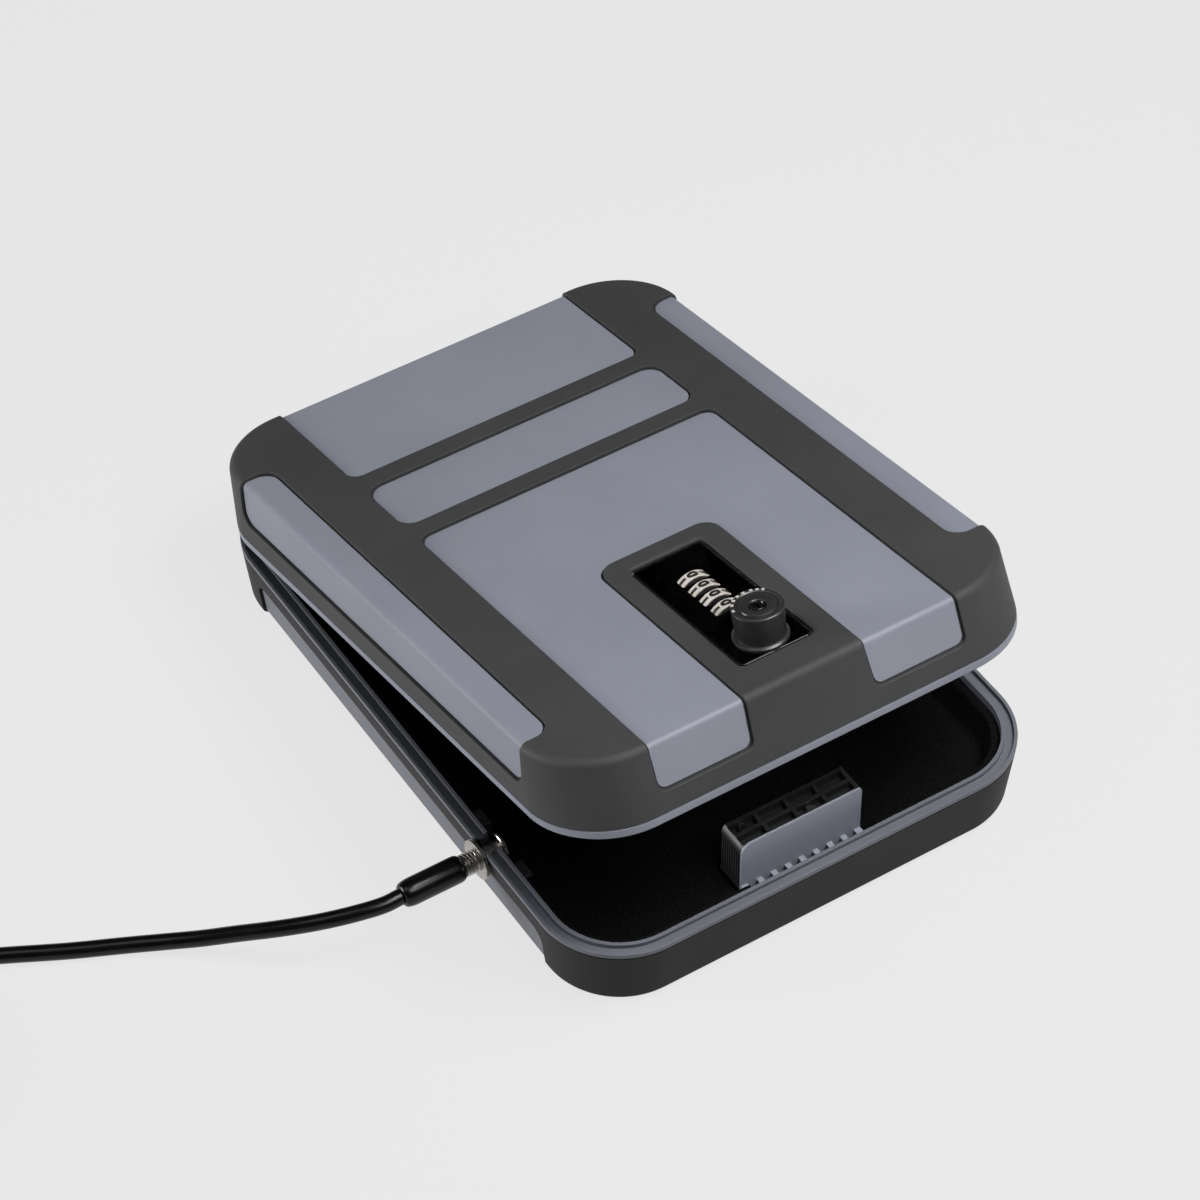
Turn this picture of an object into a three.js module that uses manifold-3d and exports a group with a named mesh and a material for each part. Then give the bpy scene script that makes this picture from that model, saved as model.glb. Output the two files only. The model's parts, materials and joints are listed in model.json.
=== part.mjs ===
// Portable car safe: a two-shell box with a rear hinge, a knob lock with four
// number dials, and a steel security cable. Millimetres, +Z up, +X right seen
// from the front, front at -Y. The origin is the centre of the footprint.
// The lid is built closed, then turned about the hinge to stand ajar.
import * as THREE from "three";
import { mergeVertices } from "three/addons/utils/BufferGeometryUtils.js";
import Module from "manifold-3d";

const wasm = await Module();
wasm.setup();

// Fits
const seatGap = 0.3;
const slideGap = 0.4;
const cutOverrun = 5;

// Whole safe
const bodyWidth = 174.6;
const bodyDepth = 240.4;
const closedHeight = 50.8;
const partingHeight = 25;
const planCornerRadius = 28.6;
const leastRadius = 1;

// Facets of round stretches
const cornerSteps = 6;
const smallCornerSteps = 4;
const filletSteps = 3;
const roundFacets = 24;
const boreFacets = 16;
const screwFacets = 12;
const flangeFacets = 32;
const knobFacets = 40;
const dialFacets = 30;

// Walls, from the outside in: bumper, seat gap, shell
const bumperThickness = 2;
const panelDepth = 1;
const shellWall = 3;

// Base form
const baseLipThickness = 1.7;
const baseDraft = 2.1;
const baseFillet = 3;

// Lid form
const partingGap = 0.3;
const lidLipThickness = 2.6;
const lidSideDraft = 1.4;
const lidFrontDraft = 5.15;
const lidRearDraft = 0.4;
const lidFrontSetback = 0.55;
const lidFillet = 3.2;

// Rim: groove in the base, tongue under the lid
const outerRidge = 1.2;
const grooveWidth = 2.8;
const grooveDepth = 1.6;
const tongueClearance = 0.5;
const tongueDepth = 1.2;

// Panels (gray shell showing through windows in the bumper), set in from the body's
// sides, front and rear, and up or down from the lips
const columnInset = 31.3;
const rearPanelDepth = 52.4;
const rearBand = 8.3;
const namePanelLength = 27.1;
const frontBand = 8;
const panelCorner = 4.5;
const namePanelCorner = 6;
const wrapFootRise = 6.8;
const wrapCorner = 3;
const sidePanelReach = 13.4;
const sidePanelFrontInset = 31.9;
const sidePanelRearInset = 28.5;
const sidePanelFootRise = 7.4;
const sidePanelCorner = 6;
const sideFootCorner = 5;
const basePanelInset = 30.7;
const basePanelDrop = 7.1;
const baseCrossBandHalf = 8;
const panelGap = 0.3;

// Lock face plate
const plateHalfWidth = 13;
const plateFrontInset = 21;
const plateLength = 63.2;
const plateSunk = 1.2;
const plateThickness = 1.6;
const plateCorner = 2;

// Lock surround on the lid
const surroundHalfWidth = 21.6;
const surroundFootHalfWidth = 22.4;
const surroundMargin = 7.5;
const surroundCorner = 6;

// Dials
const dialCount = 4;
const dialPitch = 6.4;
const dialWidth = 4.2;
const dialRadius = 7.3;
const dialAxisSunk = 6.4;
const firstDialInset = 15.9;
const dialBore = 3.4;
const slotRecessHalfWidth = 6.4;
const slotRecessDepth = 0.6;
const rodRadius = 1.3;
const sleeveWall = 1.5;
const gateFlangeRadius = 3.3;
const gateFlangeWidth = 0.7;
const gateWidth = 2;
const gateDepth = 0.7;

// Knob, spindle and cam
const knobInset = 9;
const knobRadius = 8.5;
const knobRise = 10.9;
const knobFlare = 0.5;
const knobSkirt = 1.2;
const knobRingDepth = 0.5;
const knobRingOuter = 6.6;
const knobRingInner = 5.7;
const plugRadius = 2.4;
const plugDepth = 7;
const keywayLength = 3.4;
const keywayWidth = 0.9;
const keywayDepth = 3.5;
const spindleRadius = 3;
const spindleKnobDepth = 3;
const camLift = 0.2;
const camThickness = 2;
const camReach = 9;
const camHalfWidth = 2.8;
const camScrewRadius = 1.2;
const camScrewHeadRadius = 2.5;
const camScrewHeadHeight = 1.4;
const camScrewLength = 6.5;
const clipThickness = 0.6;
const clipRadius = 4.6;
const clipGrooveRadius = 2.4;
const clipOpening = 3;
const collarRadius = 3.8;
const collarOffset = 0.5;
const collarHeight = 3;
const collarTurnShare = 0.75;

// Lock case
const dialFloorGap = 1;
const coverThickness = 1.2;
const caseWall = 1.3;
const pocketRearMargin = 5.2;
const pocketFrontMargin = 5.4;
const earReach = 6.3;
const earThickness = 1.7;
const earHalfLength = 5;
const earCorner = 2;
const rearEarInset = 7.7;
const frontEarInset = 14.9;
const earScrewReach = 3.3;
const screwRadius = 1.1;
const screwHeadRadius = 2.2;
const screwHeadHeight = 1.4;
const coverScrewLength = 4;
const coverScrewInset = 4;
const coverScrewAside = 9;
const barWidth = 1.6;
const barHeight = 3.4;
const barClearance = 0.9;
const barFingerWidth = 0.7;
const barLugWidth = 4;
const barRearReach = 1.9;
const springThickness = 0.4;
const springHalfWidth = 9.5;
const springFingerWidth = 3.2;
const springCrown = 1;
const springRootWidth = 3;

// Foam liner: a pad on the tray's floor with thin walls up to the rim
const padDrop = 12.5;
const linerGap = 0.5;
const linerWall = 2.5;
const linerWallDrop = 2.5;

// Catch block in the base
const blockHalfWidth = 22.7;
const blockRise = 8;
const blockFrontMargin = 4.9;
const blockRearMargin = 4;
const blockFrontCorner = 4;
const blockBevel = 1.4;
const blockCornerSteps = 5;
const blockPocketRows = 2;
const blockPocketColumns = 4;
const blockWall = 1.3;
const blockDeckSunk = 0.9;
const blockPocketDepth = 4;
const camSlotPlay = 1;
const camSlotFrontPlay = 1.7;
const camSlotLeftPlay = 1.2;
const camSlotRightPlay = 2.4;
const footThickness = 1.4;
const footSlots = 8;
const footSlotWidth = 3.2;
const footSlotPitch = 5.3;
const catchScrewRadius = 1.1;
const catchScrewHeadRadius = 1.65;
const catchBossRadius = 2.2;
const catchScrewHeadHeight = 1.6;

// Hinge
const hingeBehind = 2.2;
const hingeBelow = 0.4;
const knuckleRadius = 2.6;
const knuckleLength = 9;
const knuckleGap = 0.4;
const hingeInset = 39.3;
const hingePinRadius = 1.25;
const hingePinClearance = 0.08;
const hingePinHead = 0.6;
const knuckleArmDepth = 3.6;
const ajarAngle = 11.92;

// Cable port and terminal
const portFrontInset = 64.9;
const portWidth = 7.4;
const portDepth = 5.8;
const outerFlangeRadius = 6.8;
const outerFlangeThickness = 1.5;
const innerFlangeRadius = 5.5;
const innerFlangeThickness = 1.3;
const neckRadius = 3.3;
const outerNeckRadius = 3.75;
const outerNeckReach = 6.7;
const tabLength = 7;
const tabHeight = 8;
const tabThickness = 3;
const tabOffset = 12.4;
const tabDrop = 3;

// Cable
const cableRadius = 2.7;
const cableLength = 914;
const bootRadius = 4.5;
const bootLength = 21.7;
const bootTaper = 4;
const cableSides = 8;
const cableStep = 12;
const coilMeanRadius = 30.2;
const coilPitch = 6.3;
const coilLayerRise = 5.9;
const coilSides = 6;
const coilLoopSteps = 24;
const tailLength = 42;
const tailSteps = 6;
const eyeRadius = 15;
const eyeSteps = 22;
const eyeSleeveLength = 13;
const eyeSleeveHeight = 7.4;
const eyeSleeveWidth = 13.4;
const eyeLegOffset = 2.95;

// Places across and along the body
const halfWidth = bodyWidth / 2;
const halfDepth = bodyDepth / 2;
const shellInset = bumperThickness + seatGap;
const cavityInset = shellInset + shellWall;
const wallOuterX = -halfWidth;
const wallInnerX = wallOuterX + cavityInset;
const wallFaceX = wallInnerX + baseDraft / 2 + seatGap;
const columnHalfWidth = halfWidth - columnInset;
const rearPanelFront = halfDepth - rearPanelDepth;
const namePanelRear = rearPanelFront - rearBand;
const namePanelFront = namePanelRear - namePanelLength;
const frontPanelRear = namePanelFront - frontBand;
const sidePanelInner = halfWidth - sidePanelReach;
const sidePanelFront = -halfDepth + sidePanelFrontInset;
const sidePanelRear = halfDepth - sidePanelRearInset;
const basePanelHalfLength = halfDepth - basePanelInset;
const plateFront = -halfDepth + plateFrontInset;
const plateRear = plateFront + plateLength;
const surroundRear = plateRear + surroundMargin;
const knobY = plateFront + knobInset;
const firstDialY = plateRear - firstDialInset;
const lastDialY = firstDialY - (dialCount - 1) * dialPitch;
const hingeY = halfDepth + hingeBehind;
const hingeCentreX = halfWidth - hingeInset;
const portY = -halfDepth + portFrontInset;

// Heights
const hingeZ = partingHeight - hingeBelow;
const baseLipBottom = partingHeight - baseLipThickness;
const basePanelTop = baseLipBottom - basePanelDrop;
const shellFloor = cavityInset;
const linerWallTop = partingHeight - linerWallDrop;
const padTop = partingHeight - padDrop;
const footBottom = padTop + slideGap;
const portCentreHeight = partingHeight - portDepth;
const tabTop = partingHeight - tabDrop;
const lidTop = closedHeight;
const lidBottom = partingHeight + partingGap;
const lidLipTop = lidBottom + lidLipThickness;
const wrapFoot = lidLipTop + wrapFootRise;
const sidePanelFoot = lidLipTop + sidePanelFootRise;
const shellCeiling = lidTop - cavityInset;
const plateTop = lidTop - plateSunk;
const plateBottom = plateTop - plateThickness;
const dialAxisHeight = lidTop - dialAxisSunk;
const knobBottom = plateTop + seatGap;
const knobTop = lidTop + knobRise;
const camBottom = partingHeight + camLift;
const camTop = camBottom + camThickness;
const spindleBottom = camTop + seatGap;
const spindleTop = knobBottom + spindleKnobDepth;

// Lock case
const caseHalfWidth = plateHalfWidth - seatGap;
const caseFront = plateFront + seatGap;
const caseRear = plateRear - seatGap;
const caseTop = plateBottom - seatGap;
const caseBottom = dialAxisHeight - dialRadius - dialFloorGap;
const coverTop = caseBottom - seatGap;
const coverBottom = coverTop - coverThickness;
const pocketHalfWidth = caseHalfWidth - caseWall;
const pocketRear = firstDialY + dialWidth / 2 + pocketRearMargin;
const pocketFront = lastDialY - dialWidth / 2 - pocketFrontMargin;
const earHalfWidth = caseHalfWidth + earReach;
const earTop = shellCeiling - seatGap;
const earBottom = earTop - earThickness;
const earPlaces = [caseRear - rearEarInset, caseFront + frontEarInset];
const earScrewX = caseHalfWidth + earScrewReach;
const earScrewPlaces = earPlaces.flatMap((y) => [[-earScrewX, y], [earScrewX, y]]);
const caseScrewLength = earThickness + bumperThickness + seatGap;
const coverScrewPlaces = [[0, caseRear - coverScrewInset], [-coverScrewAside, earPlaces[1]]];
const sleeveRadius = dialBore - seatGap;
const barInner = dialRadius + barClearance;
const barRear = firstDialY + barRearReach;
const clipHeight = coverBottom - slideGap - clipThickness;

// Catch block, set out from the cam that turns into it
const camSlotFront = knobY - camReach - camSlotFrontPlay;
const camSlotLeft = -camHalfWidth - camSlotLeftPlay;
const camSlotRight = camReach + camSlotRightPlay;
const camSlotBottom = camBottom - camSlotPlay;
const camSlotTop = camTop + camSlotPlay;
const blockFront = camSlotFront - blockFrontMargin;
const blockRear = knobY - blockRearMargin;
const blockTop = partingHeight + blockRise;

const materials = {
  gray: { color: 0x8b8f9a, roughness: 0.55, metalness: 0 },
  black: { color: 0x3d3c3e, roughness: 0.6, metalness: 0 },
  darkPlastic: { color: 0x161618, roughness: 0.35, metalness: 0 },
  foam: { color: 0x0a0a0b, roughness: 1, metalness: 0 },
  white: { color: 0xd8d4cc, roughness: 0.5, metalness: 0 },
  steel: { color: 0xb9b6ae, roughness: 0.3, metalness: 1 },
  brass: { color: 0xb59a5a, roughness: 0.35, metalness: 1 },
  cable: { color: 0x0d0d0e, roughness: 0.25, metalness: 0 },
};

// A closed three.js geometry as a solid.
function solid(geometry) {
  geometry.deleteAttribute("normal");
  geometry.deleteAttribute("uv");
  const merged = mergeVertices(geometry, 1e-4);
  return new wasm.Manifold(new wasm.Mesh({
    numProp: 3,
    vertProperties: new Float32Array(merged.attributes.position.array),
    triVerts: new Uint32Array(merged.index.array),
  }));
}

// A solid back as a three.js geometry.
function toGeometry(body) {
  const mesh = body.getMesh();
  const geometry = new THREE.BufferGeometry();
  geometry.setAttribute("position", new THREE.BufferAttribute(mesh.vertProperties, 3));
  geometry.setIndex(new THREE.BufferAttribute(mesh.triVerts, 1));
  return geometry;
}

function piece(name, body, look) {
  const material = new THREE.MeshStandardMaterial(materials[look]);
  const geometry = body.isBufferGeometry ? body : toGeometry(body);
  const mesh = new THREE.Mesh(geometry, material);
  mesh.name = name;
  return mesh;
}

function joined(bodies) {
  return bodies.reduce((whole, body) => whole.add(body));
}

// Outline with rounded corners, counter-clockwise: each corner is [x, y, radius].
function roundedOutline(corners, steps = smallCornerSteps) {
  const points = [];
  corners.forEach(([x, y, radius], index) => {
    const here = new THREE.Vector2(x, y);
    if (!radius) {
      points.push(here);
      return;
    }
    const before = corners[(index + corners.length - 1) % corners.length];
    const after = corners[(index + 1) % corners.length];
    const back = new THREE.Vector2(before[0], before[1]).sub(here).normalize();
    const ahead = new THREE.Vector2(after[0], after[1]).sub(here).normalize();
    const half = Math.acos(THREE.MathUtils.clamp(back.dot(ahead), -1, 1)) / 2;
    const middle = back.clone().add(ahead).normalize();
    const centre = here.clone().addScaledVector(middle, radius / Math.sin(half));
    const start = here.clone().addScaledVector(back, radius / Math.tan(half)).sub(centre);
    const end = here.clone().addScaledVector(ahead, radius / Math.tan(half)).sub(centre);
    const turn = Math.atan2(start.cross(end), start.dot(end));
    for (let step = 0; step <= steps; step += 1) {
      const point = start.clone().rotateAround(new THREE.Vector2(), (turn * step) / steps);
      points.push(point.add(centre));
    }
  });
  return points;
}

function rectangle(left, right, low, high, radius = 0) {
  return [[left, low, radius], [right, low, radius], [right, high, radius], [left, high, radius]];
}

// Prism along Z from an outline in X and Y.
function prismZ(outline, bottom, top) {
  const shape = new THREE.Shape(outline);
  const geometry = new THREE.ExtrudeGeometry(shape, { depth: top - bottom, bevelEnabled: false });
  geometry.translate(0, 0, bottom);
  return solid(geometry);
}

// Prism along Y from an outline in X and Z.
function prismY(outline, front, rear) {
  const body = prismZ(outline, 0, rear - front);
  return body.rotate([90, 0, 0]).translate([0, rear, 0]);
}

// Prism along X from an outline in Y and Z.
function prismX(outline, left, right) {
  const body = prismZ(outline, 0, right - left);
  return body.rotate([90, 0, 90]).translate([left, 0, 0]);
}

function block(left, right, front, rear, bottom, top) {
  return prismZ(roundedOutline(rectangle(left, right, front, rear)), bottom, top);
}

// Round body about Z from a half profile of [radius, height] points, which starts
// and ends on the axis.
function turned(profile, facets = roundFacets) {
  const points = profile.map(([radius, height]) => new THREE.Vector2(radius, height));
  const geometry = new THREE.LatheGeometry(points, facets);
  geometry.rotateX(Math.PI / 2);
  return solid(geometry);
}

function disc(radius, bottom, top, facets = roundFacets) {
  return turned([[0, bottom], [radius, bottom], [radius, top], [0, top]], facets);
}

function ringBody(inner, outer, bottom, top, facets = roundFacets) {
  const bore = disc(inner, bottom - cutOverrun, top + cutOverrun, facets);
  return disc(outer, bottom, top, facets).subtract(bore);
}

function alongX(body) {
  return body.rotate([0, 90, 0]);
}

function alongY(body) {
  return body.rotate([-90, 0, 0]);
}

// Closed body through rings of points that all have the same count, lowest first.
function loft(rings) {
  const count = rings[0].length;
  const positions = rings.flat().flatMap((point) => [point.x, point.y, point.z]);
  const faces = [];
  for (let level = 0; level < rings.length - 1; level += 1) {
    for (let side = 0; side < count; side += 1) {
      const a = level * count + side;
      const b = level * count + ((side + 1) % count);
      faces.push(a, b, b + count, a, b + count, a + count);
    }
  }
  const flat = rings[0].map((point) => new THREE.Vector2(point.x, point.y));
  const topStart = (rings.length - 1) * count;
  THREE.ShapeUtils.triangulateShape(flat, []).forEach(([a, b, c]) => {
    faces.push(a, c, b, topStart + a, topStart + b, topStart + c);
  });
  const geometry = new THREE.BufferGeometry();
  geometry.setAttribute("position", new THREE.Float32BufferAttribute(positions, 3));
  geometry.setIndex(faces);
  return solid(geometry);
}

// Shell forms: from the open rim (open), straight to the top of the lip (straight),
// then drafted to the far face (far), where a fillet rounds it over.
const baseForm = {
  open: partingHeight,
  straight: baseLipBottom,
  far: 0,
  fillet: baseFillet,
  frontSetback: 0,
  sideDraft: baseDraft,
  frontDraft: baseDraft,
  rearDraft: baseDraft,
};
const lidForm = {
  open: lidBottom,
  straight: lidLipTop,
  far: lidTop,
  fillet: lidFillet,
  frontSetback: lidFrontSetback,
  sideDraft: lidSideDraft,
  frontDraft: lidFrontDraft,
  rearDraft: lidRearDraft,
};

// One ring of a form at a height, drawn in by an inset from its outer face.
function formRing(form, height, inset) {
  const direction = Math.sign(form.far - form.open);
  const draftEnd = form.far - direction * form.fillet;
  const share = THREE.MathUtils.clamp((height - form.straight) / (draftEnd - form.straight), 0, 1);
  const side = halfWidth - inset - share * form.sideDraft;
  const front = -halfDepth + form.frontSetback + inset + share * form.frontDraft;
  const rear = halfDepth - inset - share * form.rearDraft;
  const radius = Math.max(planCornerRadius - inset - share * form.sideDraft, leastRadius);
  const outline = roundedOutline(rectangle(-side, side, front, rear, radius), cornerSteps);
  return outline.map((point) => new THREE.Vector3(point.x, point.y, height));
}

// The whole form, offset inwards. Overrun carries its open side further out.
function formBody(form, offset, overrun = 0) {
  const direction = Math.sign(form.far - form.open);
  const fillet = Math.max(form.fillet - offset, leastRadius);
  const far = form.far - direction * offset;
  const filletStart = far - direction * fillet;
  const rings = [
    formRing(form, form.open - direction * overrun, offset),
    formRing(form, form.straight, offset),
  ];
  for (let step = 0; step <= filletSteps; step += 1) {
    const angle = (step / filletSteps) * (Math.PI / 2);
    const height = filletStart + direction * fillet * Math.sin(angle);
    const level = formRing(form, filletStart, offset + fillet * (1 - Math.cos(angle)));
    rings.push(level.map((point) => new THREE.Vector3(point.x, point.y, height)));
  }
  return loft(direction > 0 ? rings : rings.reverse());
}

// Slice of a form between two heights.
function formSlab(form, inset, bottom, top) {
  return formBody(form, inset, cutOverrun).intersect(
    block(-bodyWidth, bodyWidth, -bodyDepth, bodyDepth, bottom, top));
}

// Windows in the lid's bumper. With an inset they give the panels that fill them.
function lidWindows(inset) {
  const column = columnHalfWidth - inset;
  const above = lidTop + cutOverrun;
  const fold = lidTop - lidFillet;
  const faceTop = fold + seatGap;
  const beyond = halfDepth + cutOverrun;
  const faceInner = halfDepth - cavityInset - lidFrontDraft;
  const top = (outline) => prismZ(roundedOutline(outline), fold, above);

  const rearTop = top([
    [-column, rearPanelFront + inset, panelCorner],
    [column, rearPanelFront + inset, panelCorner],
    [column, beyond, 0],
    [-column, beyond, 0],
  ]);
  const rearFace = prismY(roundedOutline([
    [-column, wrapFoot + inset, wrapCorner],
    [column, wrapFoot + inset, wrapCorner],
    [column, faceTop, 0],
    [-column, faceTop, 0],
  ]), faceInner, beyond);
  const namePanel = top(rectangle(
    -column, column, namePanelFront + inset, namePanelRear - inset, namePanelCorner));

  const surroundEdge = surroundHalfWidth + inset;
  const surround = prismZ(roundedOutline([
    [-surroundEdge, -beyond, 0],
    [surroundEdge, -beyond, 0],
    [surroundEdge, surroundRear + inset, surroundCorner],
    [-surroundEdge, surroundRear + inset, surroundCorner],
  ]), lidBottom, above + cutOverrun);
  const frontTop = top([
    [-column, -beyond, 0],
    [column, -beyond, 0],
    [column, frontPanelRear - inset, panelCorner],
    [-column, frontPanelRear - inset, panelCorner],
  ]).subtract(surround);
  const frontFaces = [-1, 1].map((side) => {
    const corners = [
      [side * (surroundFootHalfWidth + inset), wrapFoot + inset, wrapCorner],
      [side * column, wrapFoot + inset, wrapCorner],
      [side * column, faceTop, 0],
      [side * surroundEdge, faceTop, 0],
      [side * surroundEdge, fold, 0],
    ];
    return prismY(roundedOutline(side > 0 ? corners : corners.reverse()), -beyond, -faceInner);
  });

  const sides = [-1, 1].flatMap((side) => {
    const inner = side * (sidePanelInner + inset);
    const outer = side * (halfWidth + cutOverrun);
    const corners = [
      [inner, sidePanelFront + inset, sidePanelCorner],
      [outer, sidePanelFront + inset, 0],
      [outer, sidePanelRear - inset, 0],
      [inner, sidePanelRear - inset, sidePanelCorner],
    ];
    const sideTop = top(side > 0 ? corners : corners.reverse());
    const sideFace = prismX(roundedOutline([
      [sidePanelFront + inset, sidePanelFoot + inset, sideFootCorner],
      [sidePanelRear - inset, sidePanelFoot + inset, sideFootCorner],
      [sidePanelRear - inset, faceTop, 0],
      [sidePanelFront + inset, faceTop, 0],
    ]), Math.min(inner, outer), Math.max(inner, outer));
    return [sideTop, sideFace];
  });
  return joined([rearTop, rearFace, namePanel, frontTop, ...frontFaces, ...sides]);
}

// Windows in the base's bumper: both sides, and two on the underside.
function baseWindows(inset) {
  const half = basePanelHalfLength - inset;
  const sides = [-1, 1].flatMap((side) => {
    const inner = side * (sidePanelInner + inset);
    const outer = side * (halfWidth + cutOverrun);
    const corners = [
      [inner, -half, sidePanelCorner],
      [outer, -half, 0],
      [outer, half, 0],
      [inner, half, sidePanelCorner],
    ];
    const outline = roundedOutline(side > 0 ? corners : corners.reverse());
    const face = prismX(roundedOutline([
      [-half, baseFillet, 0],
      [half, baseFillet, 0],
      [half, basePanelTop - inset, sideFootCorner],
      [-half, basePanelTop - inset, sideFootCorner],
    ]), Math.min(inner, outer), Math.max(inner, outer));
    return [prismZ(outline, -cutOverrun, baseFillet + cutOverrun), face];
  });
  const column = columnHalfWidth - inset;
  const under = [-1, 1].map((side) => {
    const near = side * (baseCrossBandHalf + inset);
    const far = side * half;
    const outline = rectangle(
      -column, column, Math.min(near, far), Math.max(near, far), sidePanelCorner);
    return prismZ(roundedOutline(outline), -cutOverrun, baseFillet + cutOverrun);
  });
  return joined([...sides, ...under]);
}

// Hinge knuckles: two hinges, each with a base knuckle on both sides of a lid one.
const hingeCentres = [-hingeCentreX, hingeCentreX];
const knuckleStep = knuckleLength + knuckleGap;
const baseKnuckleCentres = hingeCentres.flatMap((x) => [x - knuckleStep, x + knuckleStep]);
const lidKnuckleCentres = hingeCentres;

function knuckle(x, bottom, top) {
  const half = knuckleLength / 2;
  const barrel = alongX(disc(knuckleRadius, -half, half)).translate([x, hingeY, hingeZ]);
  const front = halfDepth - knuckleArmDepth;
  const arm = block(x - half, x + half, front, hingeY, bottom, top);
  const bore = alongX(disc(hingePinRadius + hingePinClearance, -knuckleLength, knuckleLength));
  return barrel.add(arm).subtract(bore.translate([x, hingeY, hingeZ]));
}

function knuckleRelief(x) {
  const half = knuckleLength / 2 + knuckleGap;
  const barrel = alongX(disc(knuckleRadius + slideGap, -half, half));
  return barrel.translate([x, hingeY, hingeZ]);
}

// The pocket that a base knuckle's arm passes through the bumper in.
function armRelief(x) {
  const half = knuckleLength / 2 + knuckleGap;
  const front = halfDepth - knuckleArmDepth;
  return block(x - half, x + half, front, hingeY + knuckleRadius,
    hingeZ - knuckleRadius - seatGap, baseLipBottom + cutOverrun);
}

// Cable notch: a slot open at the top with a round foot, through the left wall.
function portNotch(width, left, right) {
  const radius = width / 2;
  const foot = alongX(disc(radius, left, right)).translate([0, portY, portCentreHeight]);
  const slot = block(left, right, portY - radius, portY + radius,
    portCentreHeight, partingHeight + cutOverrun);
  return foot.add(slot);
}

function baseShell() {
  const core = formBody(baseForm, shellInset);
  const lip = formSlab(baseForm, 0, baseLipBottom, partingHeight);
  const pads = formBody(baseForm, panelDepth).intersect(baseWindows(panelGap));
  const cavity = formBody(baseForm, cavityInset, cutOverrun);
  const grooveBottom = partingHeight - grooveDepth;
  const above = partingHeight + cutOverrun;
  const groove = formSlab(baseForm, outerRidge, grooveBottom, above)
    .subtract(formSlab(baseForm, outerRidge + grooveWidth, grooveBottom - cutOverrun, above));
  const knuckles = baseKnuckleCentres.map((x) => knuckle(x, hingeZ - knuckleRadius, hingeZ));
  const notch = portNotch(portWidth, wallOuterX - cutOverrun, wallInnerX + cutOverrun);
  const screwHoles = catchScrewPlaces.map(([x, y]) => disc(
    catchScrewRadius + seatGap, bumperThickness + 2 * seatGap, padTop + cutOverrun, boreFacets)
    .translate([x, y, 0]));
  return joined([core, lip, pads])
    .subtract(cavity)
    .subtract(joined(lidKnuckleCentres.map(knuckleRelief)))
    .add(joined(knuckles))
    .add(catchBosses())
    .subtract(groove)
    .subtract(notch)
    .subtract(joined(screwHoles));
}

function baseBumper() {
  const top = baseLipBottom - seatGap;
  const skin = formSlab(baseForm, 0, 0, top)
    .subtract(formBody(baseForm, bumperThickness, cutOverrun));
  const flange = portFlangePocket();
  return skin
    .subtract(baseWindows(0))
    .subtract(joined(baseKnuckleCentres.map(armRelief)))
    .subtract(joined(lidKnuckleCentres.map(knuckleRelief)))
    .subtract(portNotch(portWidth + 2 * seatGap, wallOuterX - cutOverrun, wallInnerX))
    .subtract(flange);
}

// Room for the terminal's outer flange in the skin of the left wall.
function portFlangePocket() {
  return portNotch(2 * (outerFlangeRadius + seatGap), wallOuterX - cutOverrun, wallOuterX);
}

// Catch block
const blockDepth = blockRear - blockFront;
const pocketPitchX = (2 * blockHalfWidth - blockWall) / blockPocketColumns;
const pocketPitchY = (blockDepth - blockWall) / blockPocketRows;
const pocketLength = pocketPitchX - blockWall;
const pocketBreadth = pocketPitchY - blockWall;
const pocketCentreX = (column) => -blockHalfWidth + blockWall + pocketLength / 2
  + column * pocketPitchX;
const pocketCentreY = (row) => blockFront + blockWall + pocketBreadth / 2 + row * pocketPitchY;
const catchScrewPockets = [[0, 1], [2, 0]];
const catchScrewPlaces = catchScrewPockets.map(([column, row]) => [
  pocketCentreX(column), pocketCentreY(row)]);
const catchScrewSeat = blockTop - blockPocketDepth;
const catchScrewTip = shellFloor - slideGap;
const catchBottom = shellFloor + seatGap;

// Bosses on the tray's floor that the catch block's screws bite in.
function catchBosses() {
  return joined(catchScrewPlaces.map(([x, y]) => disc(
    catchBossRadius, shellFloor - seatGap, padTop, boreFacets).translate([x, y, 0])));
}

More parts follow.
